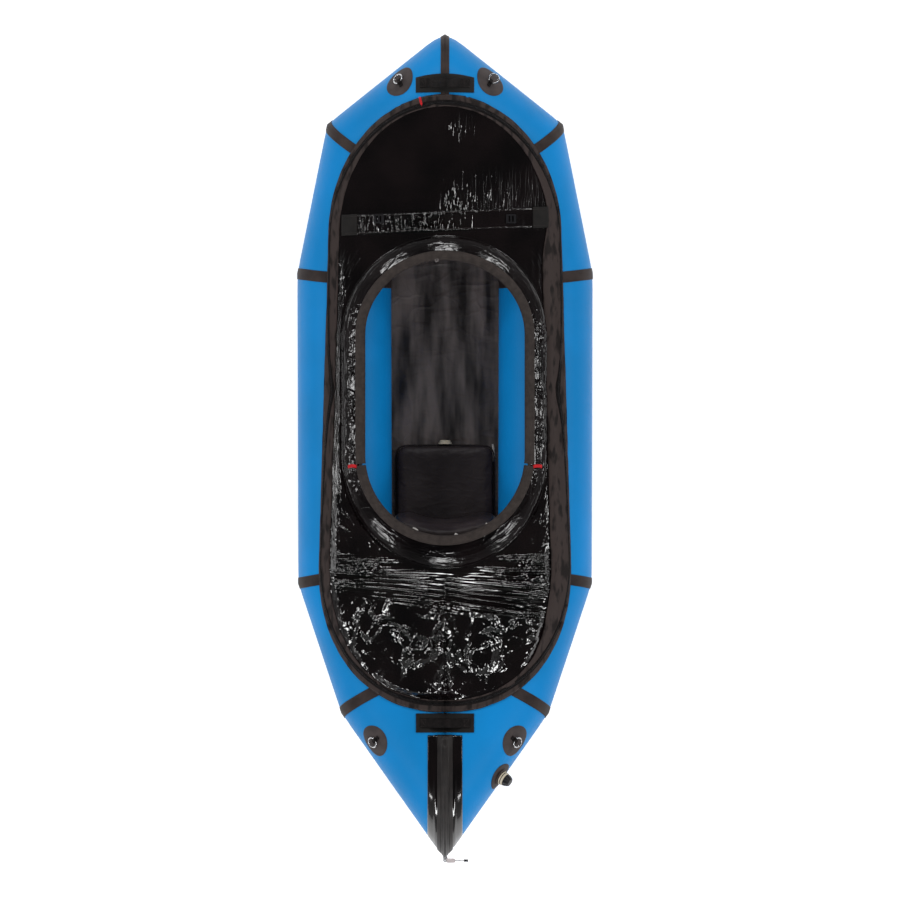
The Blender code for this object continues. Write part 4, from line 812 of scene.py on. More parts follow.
def deck_edge(turn):
    front_y, rear_y = hull.nodes[0].y - DECK_BOW_SETBACK, hull.nodes[-1].y + DECK_STERN_SETBACK
    front_half, rear_half = hull.nodes[2].x + DECK_BOW_OVERHANG, hull.nodes[3].x + DECK_STERN_OVERHANG
    return egg(turn, front_y, rear_y, DECK_BOW_ARC, DECK_STERN_ARC, front_half, rear_half, DECK_POWER)


def rim_line(turn):
    return egg(turn, COCKPIT_FRONT_Y, COCKPIT_REAR_Y, COCKPIT_FRONT_ARC, COCKPIT_REAR_ARC, COCKPIT_HALF,
               COCKPIT_HALF)


def collar_line(turn, inset=0.0):
    half = COCKPIT_HALF + COLLAR_SIDE_FLARE - inset
    front, rear = COLLAR_FRONT_FLARE - inset, COLLAR_REAR_FLARE - inset
    return egg(turn, COCKPIT_FRONT_Y + front, COCKPIT_REAR_Y - rear, COCKPIT_FRONT_ARC + front,
               COCKPIT_REAR_ARC + rear, half, half)


def collar_height(turn):
    """The height of the deck at the collar's foot. It rises towards the bow and the stern."""
    y = collar_line(turn).y
    ahead = max(y - COCKPIT_FRONT_Y + COCKPIT_FRONT_ARC, 0) / (COCKPIT_FRONT_ARC + COLLAR_FRONT_FLARE)
    behind = max(COCKPIT_REAR_Y + COCKPIT_REAR_ARC - y, 0) / (COCKPIT_REAR_ARC + COLLAR_REAR_FLARE)
    rest = hull.nodes[2].z + SKIN_RADIUS + DECK_LIFT + COLLAR_SIDE_RISE
    return rest + COLLAR_FRONT_RISE * ahead ** 2 + COLLAR_REAR_RISE * behind ** 2


def rim_height(turn):
    return collar_height(turn) + DECK_FABRIC + COLLAR_HEIGHT


# %% Tight cords across the deck
CORD_POINTS = 48


class DeckLine:
    """A tight cord from the deck's edge to the collar's foot."""

    def __init__(self, turn):
        self.outer, self.inner = deck_edge(turn), collar_line(turn, -COLLAR_FOOT)
        self.length = (self.inner - self.outer).length
        self.points = []
        for share in shares(CORD_POINTS):
            spot = self.outer.lerp(self.inner, share)
            height = collar_height(turn) if share == 1 else hull.height(spot.x, spot.y, DECK_LIFT)
            if height is not None:
                self.take(share, height)

    def take(self, share, height):
        """Adds a point and drops those that the tight cord leaves below it."""
        while len(self.points) > 1:
            (a, low), (b, high) = self.points[-2:]
            if (high - low) * (share - a) > (height - low) * (b - a):
                break
            self.points.pop()
        self.points.append((share, height))

    def spot(self, distance, lift=0.0):
        """The point at a distance from the deck's edge."""
        share = min(distance / self.length, 1.0)
        point = self.outer.lerp(self.inner, share)
        for (a, low), (b, high) in zip(self.points, self.points[1:]):
            if share <= b:
                break
        point.z = low + (high - low) * (share - a) / (b - a) + lift
        return point


DECK_COLUMNS = 560
REAR_CROWDING = 0.45
TIGHT_ROWS = 24
EDGE_SAMPLES = 2400
deck_turns = [
    k / DECK_COLUMNS + REAR_CROWDING * sin(2 * pi * k / DECK_COLUMNS) / (2 * pi)
    for k in range(DECK_COLUMNS)
]
deck_lines = [DeckLine(turn) for turn in deck_turns]
deck_girth = sum((a.outer - b.outer).length for a, b in zip(deck_lines, deck_lines[1:] + deck_lines[:1]))

# %% [markdown]
# Things lie on the tight deck, or at a distance from its edge. So the cords are joined to a surface that a
# ray can hit from above, and points of the edge go into a search tree that finds the nearest one.

# %% Laying things on the deck
SKY, DECK_LEVEL = 1.0, 0.33

tight_points = [
    line.spot(line.length * row / TIGHT_ROWS) for row in range(TIGHT_ROWS + 1) for line in deck_lines
]
tight_faces = [
    [DECK_COLUMNS * r + c % DECK_COLUMNS for c, r in ((k, row), (k + 1, row), (k + 1, row + 1), (k, row + 1))]
    for row in range(TIGHT_ROWS) for k in range(DECK_COLUMNS)
]
tight_deck = BVHTree.FromPolygons(tight_points, tight_faces)
edge_tree = KDTree(EDGE_SAMPLES)
for sample in range(EDGE_SAMPLES):
    edge_tree.insert(deck_edge(sample / EDGE_SAMPLES), sample)
edge_tree.balance()


def inboard(spot):
    """The distance of a point of the plan from the deck's edge, and the nearest point there."""
    near, _, distance = edge_tree.find((spot.x, spot.y, 0))
    return distance, near


def below(surface, x, y):
    """Where a ray from the sky meets a surface, or None beside it."""
    return surface.ray_cast(Vector((x, y, SKY)), Vector((0, 0, -1)))[0]


def lay(x, y, lift):
    """A point on the tight deck."""
    hit = below(tight_deck, x, y) or tight_deck.find_nearest(Vector((x, y, DECK_LEVEL)))[0]
    return Vector((x, y, hit.z + lift))


def from_edge(turn, distance, lift):
    """A point on the tight deck, square in from its edge."""
    ahead = deck_edge(turn + 0.5 / EDGE_SAMPLES) - deck_edge(turn - 0.5 / EDGE_SAMPLES)
    spot = deck_edge(turn) + Vector((ahead.y, -ahead.x, 0)).normalized() * distance
    return lay(spot.x, spot.y, lift)


print("deck edge, m:", round(deck_girth, 3))

# %% [markdown]
# ## The matt band round the deck
#
# The band joins the deck to the tubes, and the deck's zip runs on it. It is a matt cloth. On the starboard
# side the zip's cover flap lies open and flat, so the band looks twice as wide there.

# %% Band
BAND_PORT, BAND_STARBOARD, BAND_END = 0.036, 0.066, 0.040
BAND_FABRIC, BAND_LIFT = 0.0010, 0.0002
BAND_COVER_LIFT, BAND_COVER_EDGE = 0.0034, (0.034, 0.044)
BAND_RUFFLE = 0.0016
BAND_CLEARANCE = 0.0005
FLAP_FRONT, FLAP_REAR = (0.80, 0.60), (-0.78, -0.52)
PORT_TAPER = (0, -0.25)


def band_width(spot):
    """Wider where the cover flap lies open."""
    if spot.x < 0:
        return BAND_END + (BAND_PORT - BAND_END) * smoothstep(*PORT_TAPER, spot.x)
    open_part = smoothstep(*FLAP_FRONT, spot.y) * smoothstep(*FLAP_REAR, spot.y)
    return BAND_END + (BAND_STARBOARD - BAND_END) * open_part


# %% [markdown]
# ## The spray deck
#
# The deck is one sheet of coated cloth. On the foredeck a spar below holds it smooth. Behind the cockpit
# there is slack. The slack lies first in long folds straight across the boat, and further back it is
# crushed, as a foil is, into facets with sharp crests. Both are made in the mesh, because a bump can't
# change the outline of a highlight as much as real relief does. The finest creases are left to the material.
# Each kind of crease has its own zone. The functions below give a zone's share at a point of the plan, from
# 0 to 1.

# %% The zones of the deck
DECK_HALF = 0.35
FOLDS_START, FOLDS_PORT, FOLDS_STARBOARD = -0.352, 0.125, 0.215
WORN_SPOT, WORN_SIZE = (0.035, 1.055), (0.060, 0.050)


def folds_depth(across):
    """The length of the zone of folds, which widens from port to starboard."""
    return FOLDS_PORT + (FOLDS_STARBOARD - FOLDS_PORT) * across


def fan(spot):
    """The long folds spread out like a fan: 0 before the first fold and 1 after the last."""
    return (FOLDS_START - spot.y) / folds_depth((spot.x + DECK_HALF) / (2 * DECK_HALF))


def in_folds(spot):
    """The share of the long folds: right behind the coaming."""
    return smoothstep(-0.04, 0.10, fan(spot)) * smoothstep(1.20, 0.95, fan(spot))


def in_crush(spot):
    """The share of the crushed cloth: the rear of the deck, and a little along its sides."""
    sides = 0.20 * smoothstep(0.66, 0.56, spot.y) * smoothstep(0.22, 0.30, abs(spot.x))
    corners = 0.75 * smoothstep(-0.10, -0.26, spot.y) * smoothstep(0.14, 0.26, abs(spot.x))
    return max(smoothstep(0.90, 1.18, fan(spot)), sides, corners * (fan(spot) < 0.5))


def in_ridges(spot):
    """The share of the wrinkles that run beside the coaming."""
    return smoothstep(0.70, 0.60, spot.y) * smoothstep(-0.46, -0.30, spot.y)


def in_scuffs(spot):
    """The share of the fine upright wrinkles on the foredeck, ahead of the cross band."""
    middle = smoothstep(0.98, 0.80, spot.y) * smoothstep(-0.06, 0.02, spot.x)
    across, ahead = (spot.x - WORN_SPOT[0]) / WORN_SIZE[0], (spot.y - WORN_SPOT[1]) / WORN_SIZE[1]
    return max(smoothstep(0.70, 0.76, spot.y) * middle, 0.8 * exp(-across ** 2 - ahead ** 2))


# %% [markdown]
# Crushed cloth is made of flat facets. A Voronoi pattern gives the distance to the nearest of some scattered
# points. Measured along the axes and not as the crow flies, that distance makes pyramids with flat sides and
# sharp edges, and three sizes of them are added. A fold is a tent: the slope is even on both sides of a
# crest.

# %% How slack the cloth is at a point
DECK_ROWS = 172
FOOT_ROWS = 2
DECK_MARGIN = 0.004
TUCK, TUCK_REACH = 0.0010, 0.010
FOLD_SLOPE, FOLD_COUNT, FOLD_SHARPNESS = 1.00, 9, 1.2
CRUSH_SLOPE, CRUSH_TOP = 0.42, 0.020
CRUSH_SIZES = ((0.120, 0.7, 1.15), (0.052, 2.0, 1.00), (0.024, 1.2, 0.36))
CRUSH_DRIFT, CRUSH_DRIFT_REACH = 0.75, 1.7
CRUSH_WEAKEST, CRUSH_STRONGEST = 0.15, 1.45
BILLOW, BILLOW_SIZE, BILLOW_FLOOR = 0.010, 0.150, 0.004
SIDE_WRINKLE = 0.0021
SCUFF = 0.0070
WRINKLE_START = 0.022


def crush(spot, size, seed, turn):
    """The height of crushed cloth: flat facets that meet along sharp bent edges, as in a crumpled foil."""
    drift = noise.noise_vector(spot / (size * CRUSH_DRIFT_REACH) + Vector((seed, 0, 0))) * CRUSH_DRIFT
    at = Matrix.Rotation(turn, 3, "Z") @ Vector((spot.x, spot.y, 0)) / size + Vector((drift.x, drift.y, seed))
    distances, _ = noise.voronoi(at, distance_metric="CHEBYCHEV")
    strong = noise.noise(at * 0.45 + Vector((0, 0, 8.0))) * 2.8 + 0.75
    strong = min(max(CRUSH_WEAKEST, strong), CRUSH_STRONGEST)
    return CRUSH_SLOPE * strong * size * distances[0]


def long_folds(spot):
    """Folds across the boat, as tents whose slopes change along them."""
    across = min(max((spot.x + DECK_HALF) / (2 * DECK_HALF), 0), 1)
    spacing = folds_depth(across) / FOLD_COUNT
    drift = 0.65 * ripple(spot, 2.3, 5, 4.0)
    drift += 0.20 * ripple(spot, 8, 22, 9.0)
    at = fan(spot) * FOLD_COUNT + drift
    wave = 1 - abs(2 * (at % 1) - 1)
    size = 1.00 + 1.0 * noise.noise(Vector((spot.x * 4, at * 0.9, 2.0)))
    return FOLD_SLOPE * spacing / 2 * max(size, 0.1) * wave ** FOLD_SHARPNESS


def slack(spot, share):
    """The height of the loose cloth above a tight one. It is held at the deck's edge and at the collar."""
    hold = sin(pi * min(max(share, 0), 1)) ** 0.3
    height = in_folds(spot) * long_folds(spot)
    crushed = in_crush(spot)
    if crushed > 0:
        billow = BILLOW * noise.noise(Vector((spot.x, spot.y, 0.6)) / BILLOW_SIZE)
        large, *small = [weight * crush(spot, size, 40 * size, turn) for size, turn, weight in CRUSH_SIZES]
        lifted = CRUSH_TOP * tanh(max(large + billow - BILLOW_FLOOR, 0) / CRUSH_TOP)
        height += crushed * (lifted + sum(small))
    beside = in_ridges(spot)
    if beside > 0:
        wrinkle = noise.ridged_multi_fractal(Vector((spot.x * 42, spot.y * 5, 3.0)), 1.0, 2.1, 2, 0.9, 2.0)
        height += SIDE_WRINKLE * beside * wrinkle
    scuffed = in_scuffs(spot)
    if scuffed > 0:
        height += SCUFF * scuffed * max(ripple(spot, 80, 7, 6.0) - 0.15, 0)
    return height * hold


# %% The deck sheet
def deck_place(u, v):
    """Columns run round the deck and rows inwards. The last rows pass under the collar's foot."""
    column = round(u * DECK_COLUMNS) % DECK_COLUMNS
    line, turn = deck_lines[column], deck_turns[column]
    share = v * DECK_ROWS / (DECK_ROWS - FOOT_ROWS)
    if share > 1:
        below_foot = 2 * (share - 1) * (DECK_ROWS - FOOT_ROWS) / FOOT_ROWS - 1
        spot = collar_line(turn, COLLAR_FOOT * below_foot)
        spot.z = collar_height(turn)
        return spot
    spot = line.spot(DECK_MARGIN + (line.length - DECK_MARGIN) * share)
    away, near = inboard(spot)
    away -= band_width(near)
    tuck = TUCK * (1 - smoothstep(-TUCK_REACH, -TUCK_REACH / 3, away))
    spot.z += slack(spot, share) * smoothstep(0, WRINKLE_START, away) - tuck
    return spot


weights = {"folds": in_folds, "crushed": in_crush, "ridges": in_ridges, "scuffs": in_scuffs}
deck_map = (deck_girth, DECK_HALF)
deck = faces_up(sheet("spray_deck", deck_cloth, DECK_COLUMNS, DECK_ROWS, deck_place, deck_map, True, weights))
settle(deck, "deck_fabric", "deck_skin")
print("deck faces", len(deck.data.polygons))

# %% The band's sheet
def band_place(u, v):
    """A strip as wide as the band is at each place, raised where it covers the zip."""
    edge = deck_edge(u)
    width = band_width(edge)
    ruffle = BAND_RUFFLE * ripple(edge, 22, 22, v * 2)
    cover = BAND_COVER_LIFT * smoothstep(*BAND_COVER_EDGE, width * v)
    return from_edge(u, width * v + ruffle + BAND_CLEARANCE, BAND_LIFT + cover + max(ruffle, 0))


band = sheet("deck_band", band_cloth, DECK_COLUMNS, 10, band_place, (deck_girth, BAND_END), wrap=True)
thicken(faces_up(band), BAND_FABRIC)
settle(band, "band_fabric", "deck_edge_band")
print("band from", BAND_PORT, "to", BAND_STARBOARD, "m wide")

# %% [markdown]
# ## The coaming
#
# The coaming is the raised rim that a spray skirt is stretched over. A glossy collar stands up from the deck
# to the rim, and the rim is a flat sleeve of woven cloth with a thin rod inside. The sleeve's shape follows
# a rule: one cross-section swept along the rim's line. That suits Geometry Nodes, so the tree below sweeps
# an oval along any path. Every cord, piping, ring and sleeve of the boat uses it with its own sizes.


# %% A sweep along a path, in Geometry Nodes
def group(name, sizes):
    """A node group with a geometry in and out, some named sizes, a number of sides and a finish."""
    tree = bpy.data.node_groups.new(name, "GeometryNodeTree")
    tree.interface.new_socket("Geometry", in_out="INPUT", socket_type="NodeSocketGeometry")
    for title in sizes:
        tree.interface.new_socket(title, in_out="INPUT", socket_type="NodeSocketFloat")
    tree.interface.new_socket("Sides", in_out="INPUT", socket_type="NodeSocketInt")
    tree.interface.new_socket("Finish", in_out="INPUT", socket_type="NodeSocketMaterial")
    tree.interface.new_socket("Geometry", in_out="OUTPUT", socket_type="NodeSocketGeometry")
    return tree, add(tree, "NodeGroupInput")


def finished(tree, given, geometry):
    """Ends a tree with real geometry, for the export drops instances, and with the finish it was given."""
    real = add(tree, "GeometryNodeRealizeInstances", {"Geometry": geometry})
    painted = add(tree, "GeometryNodeSetMaterial", {"Geometry": real, "Material": given.outputs["Finish"]})
    add(tree, "NodeGroupOutput", {0: painted})
    return tree


def sweep_tree():
    tree, given = group("sweep an oval along a path", ("Half Width", "Half Height"))
    line = add(tree, "GeometryNodeMeshToCurve", {"Mesh": given.outputs["Geometry"]})
    level = add(tree, "GeometryNodeSetCurveNormal", {"Curve": line}, mode="Z_UP")
    round_shape = add(tree, "GeometryNodeCurvePrimitiveCircle", {"Resolution": given.outputs["Sides"],
                                                                 "Radius": 1.0})
    size = add(tree, "ShaderNodeCombineXYZ", {"X": given.outputs["Half Width"],
                                              "Y": given.outputs["Half Height"], "Z": 1.0})
    oval = add(tree, "GeometryNodeTransform", {"Geometry": round_shape, "Scale": size})
    swept = add(tree, "GeometryNodeCurveToMesh", {"Curve": level, "Profile Curve": oval,
                                                  "Fill Caps": True})
    return finished(tree, given, swept)


def applied(obj):
    """A plain mesh of what an object's modifiers make."""
    bpy.context.view_layer.update()
    return bpy.data.meshes.new_from_object(obj.evaluated_get(bpy.context.evaluated_depsgraph_get()))


def grown(name, path, tree, finish, inputs, cyclic=False, ups=None):
    """Runs a node tree on a path and keeps the result as a plain mesh."""
    mesh = bpy.data.meshes.new(name)
    edges = [(i, i + 1) for i in range(len(path) - 1)] + ([(len(path) - 1, 0)] if cyclic else [])
    mesh.from_pydata(path, edges, [])
    if ups:
        layer = mesh.attributes.new("up", "FLOAT_VECTOR", "POINT")
        layer.data.foreach_set("vector", [part for up in ups for part in up])
    obj = bpy.data.objects.new(name, mesh)
    bpy.context.scene.collection.objects.link(obj)
    modifier = obj.modifiers.new("grown", "NODES")
    modifier.node_group = tree
    names = {item.name: item.identifier for item in tree.interface.items_tree if item.in_out == "INPUT"}
    for title, value in {**inputs, "Finish": finish}.items():
        modifier[names[title]] = value
    made = applied(obj)
    bpy.data.objects.remove(obj)
    return sealed(piece(made, name, finish))


sweep = sweep_tree()


def swept(name, path, finish, oval, slot, *nodes, sides=8, cyclic=False, body="hull"):
    """Sweeps an oval, given as half its width and half its height, along a path and settles the piece."""
    sizes = {"Half Width": oval[0], "Half Height": oval[1], "Sides": sides}
    settle(grown(name, path, sweep, finish, sizes, cyclic), slot, *nodes, body=body)


# %% The collar
COLLAR_LEAN = 1.42
COLLAR_ROWS = 18
COLLAR_COLUMNS, COLLAR_MAP = 360, (2.6, 0.09)
RIM_HALF_WIDTH, RIM_HALF_HEIGHT = 0.0165, 0.0075
COLLAR_PUCKER, COLLAR_BILLOW = 0.0042, 0.004
WELD_OVAL = 0.0022, 0.0016


def in_creases(spot):
    """The share of the small creases: along the straight sides, in patches, and few at both ends."""
    patches = 0.65 + 1.1 * ripple(spot, 4, 13, 2.0)
    return smoothstep(-0.24, -0.06, spot.y) * smoothstep(0.52, 0.36, spot.y) * min(max(patches, 0), 1)


def collar_place(u, v):
    """A wall from the deck to the rim that leans out at its foot, with puckers where the cloth is loose."""
    foot, rim = collar_line(u), rim_line(u)
    spot = foot.lerp(rim, v ** COLLAR_LEAN)
    low, high = collar_height(u) + DECK_FABRIC, rim_height(u) - RIM_HALF_HEIGHT
    spot.z = low + (high - low) * v
    away = (foot - rim).normalized()
    wrinkle = ripple(rim, 34, 34, v * 2.2) + 0.7 * ripple(rim, 80, 80, v * 4)
    billow = COLLAR_BILLOW * sin(pi * v) * (0.6 + ripple(rim, 7, 7, 5))
    loose = COLLAR_PUCKER * (0.25 + 0.75 * in_creases(rim))
    return spot + away * (loose * wrinkle * sin(pi * v) ** 0.5 + billow)


weights = {"ridges": lambda spot: 0.5, "crushed": lambda spot: 0.12 + 1.3 * in_creases(spot)}
skirt = sheet("coaming_skirt", collar_cloth, COLLAR_COLUMNS, COLLAR_ROWS, collar_place, COLLAR_MAP, True,
              weights)
thicken(faces_up(skirt), DECK_FABRIC, 0.0)
settle(skirt, "deck_fabric", "coaming_collar")
weld_line = [collar_line(turn, -0.001) + Vector((0, 0, collar_height(turn) + DECK_FABRIC))
             for turn in shares(COLLAR_COLUMNS)[:-1]]
swept("collar_weld", weld_line, deck_cloth, WELD_OVAL, "deck_fabric", cyclic=True)
print("collar faces", len(skirt.data.polygons))

# %% The rim's sleeves and rods
RIM_SPLIT_Y, RIM_SPLIT_GAP = -0.060, 0.006
RIM_STEPS = 150


def turn_at(y):
    """The turn at which the rim's starboard side passes a distance towards the bow."""
    low, high = 0.0, 0.5
    for halving in range(40):
        middle = (low + high) / 2
        low, high = (middle, high) if rim_line(middle).y > y else (low, middle)
    return low


def rim_spot(turn):
    spot = rim_line(turn)
    return Vector((spot.x, spot.y, rim_height(turn)))


front_turn, rear_turn = turn_at(RIM_SPLIT_Y + RIM_SPLIT_GAP / 2), turn_at(RIM_SPLIT_Y - RIM_SPLIT_GAP / 2)
for title, start, end in (("front", -front_turn, front_turn), ("rear", rear_turn, 1 - rear_turn)):
    turns = [start + (end - start) * step / RIM_STEPS for step in range(RIM_STEPS + 1)]
    swept(f"rim_sleeve_{title}", [rim_spot(turn) for turn in turns], rim_cloth,
          (RIM_HALF_WIDTH, RIM_HALF_HEIGHT), "rim_fabric", f"coaming_sleeve_{title}", sides=20)
print("rim sleeves", RIM_STEPS, "steps each")

# %% [markdown]
# ## The floor
#
# The floor is a stiffer cloth bonded under both tubes. Inside the boat it lies loose in soft waves. The CAD
# floor is copied, cut fine, and its middle is lifted in waves.


# %% A finer copy of a CAD node
HALVINGS = 9


def refined(node, name, finish, longest, shift):
    """A CAD node's mesh, merged, cut until its edges are short, and moved point by point."""
    mesh = frame["nodes"][node].data.copy()
    with reshaping(mesh) as shape:
        bmesh.ops.remove_doubles(shape, verts=shape.verts, dist=0.00005)
        bmesh.ops.dissolve_limit(shape, angle_limit=radians(0.5), verts=shape.verts, edges=shape.edges)
        bmesh.ops.triangulate(shape, faces=shape.faces)
        for halving in range(HALVINGS):
            long_edges = [edge for edge in shape.edges if edge.calc_length() > longest]
            if not long_edges:
                break
            bmesh.ops.subdivide_edges(shape, edges=long_edges, cuts=1)
            bmesh.ops.triangulate(shape, faces=[face for face in shape.faces if len(face.verts) > 3])
        for vertex in shape.verts:
            vertex.co = shift(vertex.co.copy())
    return piece(mesh, name, finish)


# %% Floor
FLOOR_WAVE, FLOOR_EDGE = 0.0075, 0.022
FLOOR_FREE_HALF, FLOOR_FREE_FADE = 0.150, 0.05


def floor_wave(spot):
    """Soft waves between the tubes, none under the seat or where the floor is bonded."""
    free = smoothstep(FLOOR_FREE_HALF, FLOOR_FREE_HALF - FLOOR_FREE_FADE, abs(spot.x))
    free *= smoothstep(0.02, 0.06, spot.y) * smoothstep(0.95, 0.85, spot.y)
    wave = 0.4 + ripple(spot, 15, 3, 1.0)
    wave += 0.4 * ripple(spot, 34, 9, 6.0)
    return Vector((spot.x, spot.y, spot.z + FLOOR_WAVE * free * max(wave, 0)))


floor = refined("floor_panel", "floor_sheet", floor_cloth, FLOOR_EDGE, floor_wave)
settle(floor, "floor_fabric", "floor_panel")
print("floor faces", len(floor.data.polygons))

# %% [markdown]
# ## The seat and the backrest
#
# Both are small inflated bags of brushed cloth. Air pressure rounds them and wrinkles their seams. Cloth
# simulation does that well: the mesh starts a little too small and slack, and pressure swells it. A cap on
# how far a point may move keeps the bag inside the space that it has. Afterwards a welded seam is added as
# piping, swept along the bag's widest line.

# %% Inflating a bag
SIM_FRAMES = 20
SIM_PRESSURE = 4.0
SIM_VOXEL = 0.006
SIM_QUALITY = 5


def swollen(obj, cap):
    """Swells a closed mesh by cloth pressure, and holds every point within the cap of its start."""
    remesh = obj.modifiers.new("voxels", "REMESH")
    remesh.mode, remesh.voxel_size = "VOXEL", SIM_VOXEL
    keep(obj)
    before = [vertex.co.copy() for vertex in obj.data.vertices]
    settings = obj.modifiers.new("pressure", "CLOTH").settings
    settings.use_pressure = True
    settings.uniform_pressure_force = SIM_PRESSURE
    settings.effector_weights.gravity = 0.0
    settings.quality = SIM_QUALITY
    for step in range(1, SIM_FRAMES + 1):
        bpy.context.scene.frame_set(step)
    keep(obj)
    bpy.context.scene.frame_set(1)
    for vertex, start in zip(obj.data.vertices, before):
        moved = vertex.co - start
        if moved.length > cap:
            vertex.co = start + moved * (cap / moved.length)


def keep(obj):
    """Applies a piece's modifiers to its mesh."""
    made = applied(obj)
    obj.modifiers.clear()
    old, obj.data = obj.data, made
    bpy.data.meshes.remove(old)


def bag(name, half_x, half_y, half_z, roundness, move):
    """A soft closed block: a ball whose sides are squared by a power, placed by a function."""
    mesh = bpy.data.meshes.new(name)
    with reshaping(mesh) as shape:
        bmesh.ops.create_uvsphere(shape, u_segments=72, v_segments=40, radius=1.0)
        for vertex in shape.verts:
            turn = atan2(vertex.co.y, vertex.co.x)
            level = hypot(vertex.co.x, vertex.co.y) ** roundness
            vertex.co = move(Vector((
                half_x * level * signed_power(cos(turn), roundness),
                half_y * level * signed_power(sin(turn), roundness),
                half_z * signed_power(vertex.co.z, roundness))))
    return piece(mesh, name, seat_cloth)


# %% Seat
SEAT_SET_IN = 0.003
SEAT_CAP = 0.006
SEAT_CORNER = 0.19
SEAT_FLAT, SEAT_SQUASH = 0.80, 1.8
SEAT_DIP, SEAT_DIP_REACH, SEAT_DIP_AFT = 0.008, 0.09, 0.02
seat_low, seat_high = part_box("seat_cushion")
seat_middle, seat_size = (seat_low + seat_high) / 2, seat_high - seat_low


def seat_place(spot):
    """The seat dips in the middle, where the sitter's weight goes, and is flat below."""
    away = (spot.x / SEAT_DIP_REACH) ** 2 + ((spot.y + SEAT_DIP_AFT) / SEAT_DIP_REACH) ** 2
    dip = SEAT_DIP * exp(-away) if spot.z > 0 else 0.0
    depth = SEAT_FLAT * seat_size.z / SEAT_SQUASH
    flat, middle_z = SEAT_SET_IN - depth, seat_low.z + depth
    return Vector((seat_middle.x + spot.x, seat_middle.y + spot.y, middle_z + max(spot.z, flat) - dip))


seat = bag("seat_bag", seat_size.x / 2 - SEAT_SET_IN, seat_size.y / 2 - SEAT_SET_IN,
           seat_size.z / SEAT_SQUASH - SEAT_SET_IN, SEAT_CORNER, seat_place)
swollen(seat, SEAT_CAP)
for vertex in seat.data.vertices:
    vertex.co.z = min(max(vertex.co.z, seat_low.z), seat_high.z)
    vertex.co.y = min(vertex.co.y, seat_high.y)
seat.data.shade_smooth()
settle(seat, "seat_fabric", "seat_cushion")
print("seat, m:", [round(v, 3) for v in seat_size])

# %% [markdown]
# The bag is welded from two sheets. Their seam runs round its side, and it is piped. A white lace lies over
# the starboard side of the seat. It is dropped on the finished bag by rays, because swelling moved the
# cloth.

# %% The seat's piping and its lace
SEAT_SEAM_HEIGHT, SEAT_SEAM_SET_IN = 0.030, 0.004
SEAM_STEPS = 120
SEAT_PIPING_OVAL, LACE_OVAL, LACE_LIFT = (0.0030, 0.0024), (0.0036, 0.0010), 0.0008
LACE_SPOTS = ((0.1590, 0.0085), (0.1608, -0.004), (0.1620, -0.018), (0.1628, -0.034), (0.1633, -0.050))


def superellipse(half_x, half_y, power):
    """A rounded rectangle as a formula."""
    return [(half_x * signed_power(cos(turn), power), half_y * signed_power(sin(turn), power))
            for turn in circle_turns(SEAM_STEPS)]


seam_z = seat_low.z + SEAT_SEAM_HEIGHT
ring = superellipse(seat_size.x / 2 - SEAT_SEAM_SET_IN, seat_size.y / 2 - SEAT_SEAM_SET_IN, SEAT_CORNER)
seam = [Vector((seat_middle.x + x, seat_middle.y + y, seam_z)) for x, y in ring]
swept("seat_piping", seam, seat_cloth, SEAT_PIPING_OVAL, "seat_fabric", cyclic=True)
seat_top = BVHTree.FromPolygons([v.co for v in seat.data.vertices], [f.vertices for f in seat.data.polygons])
run = []
for x, y in LACE_SPOTS:
    hit = below(seat_top, x, y)
    run.append(Vector((x, y, (hit.z if hit else seam_z) + LACE_LIFT)))
swept("seat_side_strap", run, white_lace, LACE_OVAL, "seat_fabric", sides=10)

# %% Backrest
BACK_SET_IN = 0.005
BACK_CAP = 0.006
back_low, back_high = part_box("backrest")
BACK_HALF, BACK_ROUNDNESS = (0.166, 0.030, 0.120), 0.55
BACK_CURVE, BACK_LEAN, BACK_FOOT_CUT, BACK_FOOT = 0.050, 8.0, 0.016, 0.004


def back_place(spot):
    """Bent to a crescent, leaned back and cut flat where it stands on the seat."""
    y = spot.y + BACK_CURVE * (spot.x / BACK_HALF[0]) ** 2
    lean = Matrix.Rotation(radians(BACK_LEAN), 3, "X")
    at = lean @ Vector((spot.x, y, spot.z + BACK_HALF[2]))
    return Vector((at.x, at.y, max(at.z - BACK_FOOT_CUT, BACK_FOOT)))


back = bag("backrest_bag", *(half - BACK_SET_IN for half in BACK_HALF), BACK_ROUNDNESS, back_place)
shape_low = Vector(min(vertex.co[axis] for vertex in back.data.vertices) for axis in range(3))
back_shift = Vector((0, back_low.y + BACK_SET_IN - shape_low.y, back_low.z))
back.data.transform(Matrix.Translation(back_shift))
swollen(back, BACK_CAP)
for vertex in back.data.vertices:
    vertex.co.z = max(vertex.co.z, back_low.z)
back.data.shade_smooth()
settle(back, "seat_fabric", "backrest", body="folding_backrest")

# %% The backrest's piping and lacing loops
BACK_SEAM_SET_IN, BACK_SEAM_FORWARD = 0.002, 0.25
BACK_PIPING_OVAL, LACING_OVAL = (0.0028, 0.0028), (0.0050, 0.0020)
LACING_LOOPS = ((-0.105, 0.030), (0.034, 0.034), (0.134, 0.022))
BACK_MIDDLE = 0.2

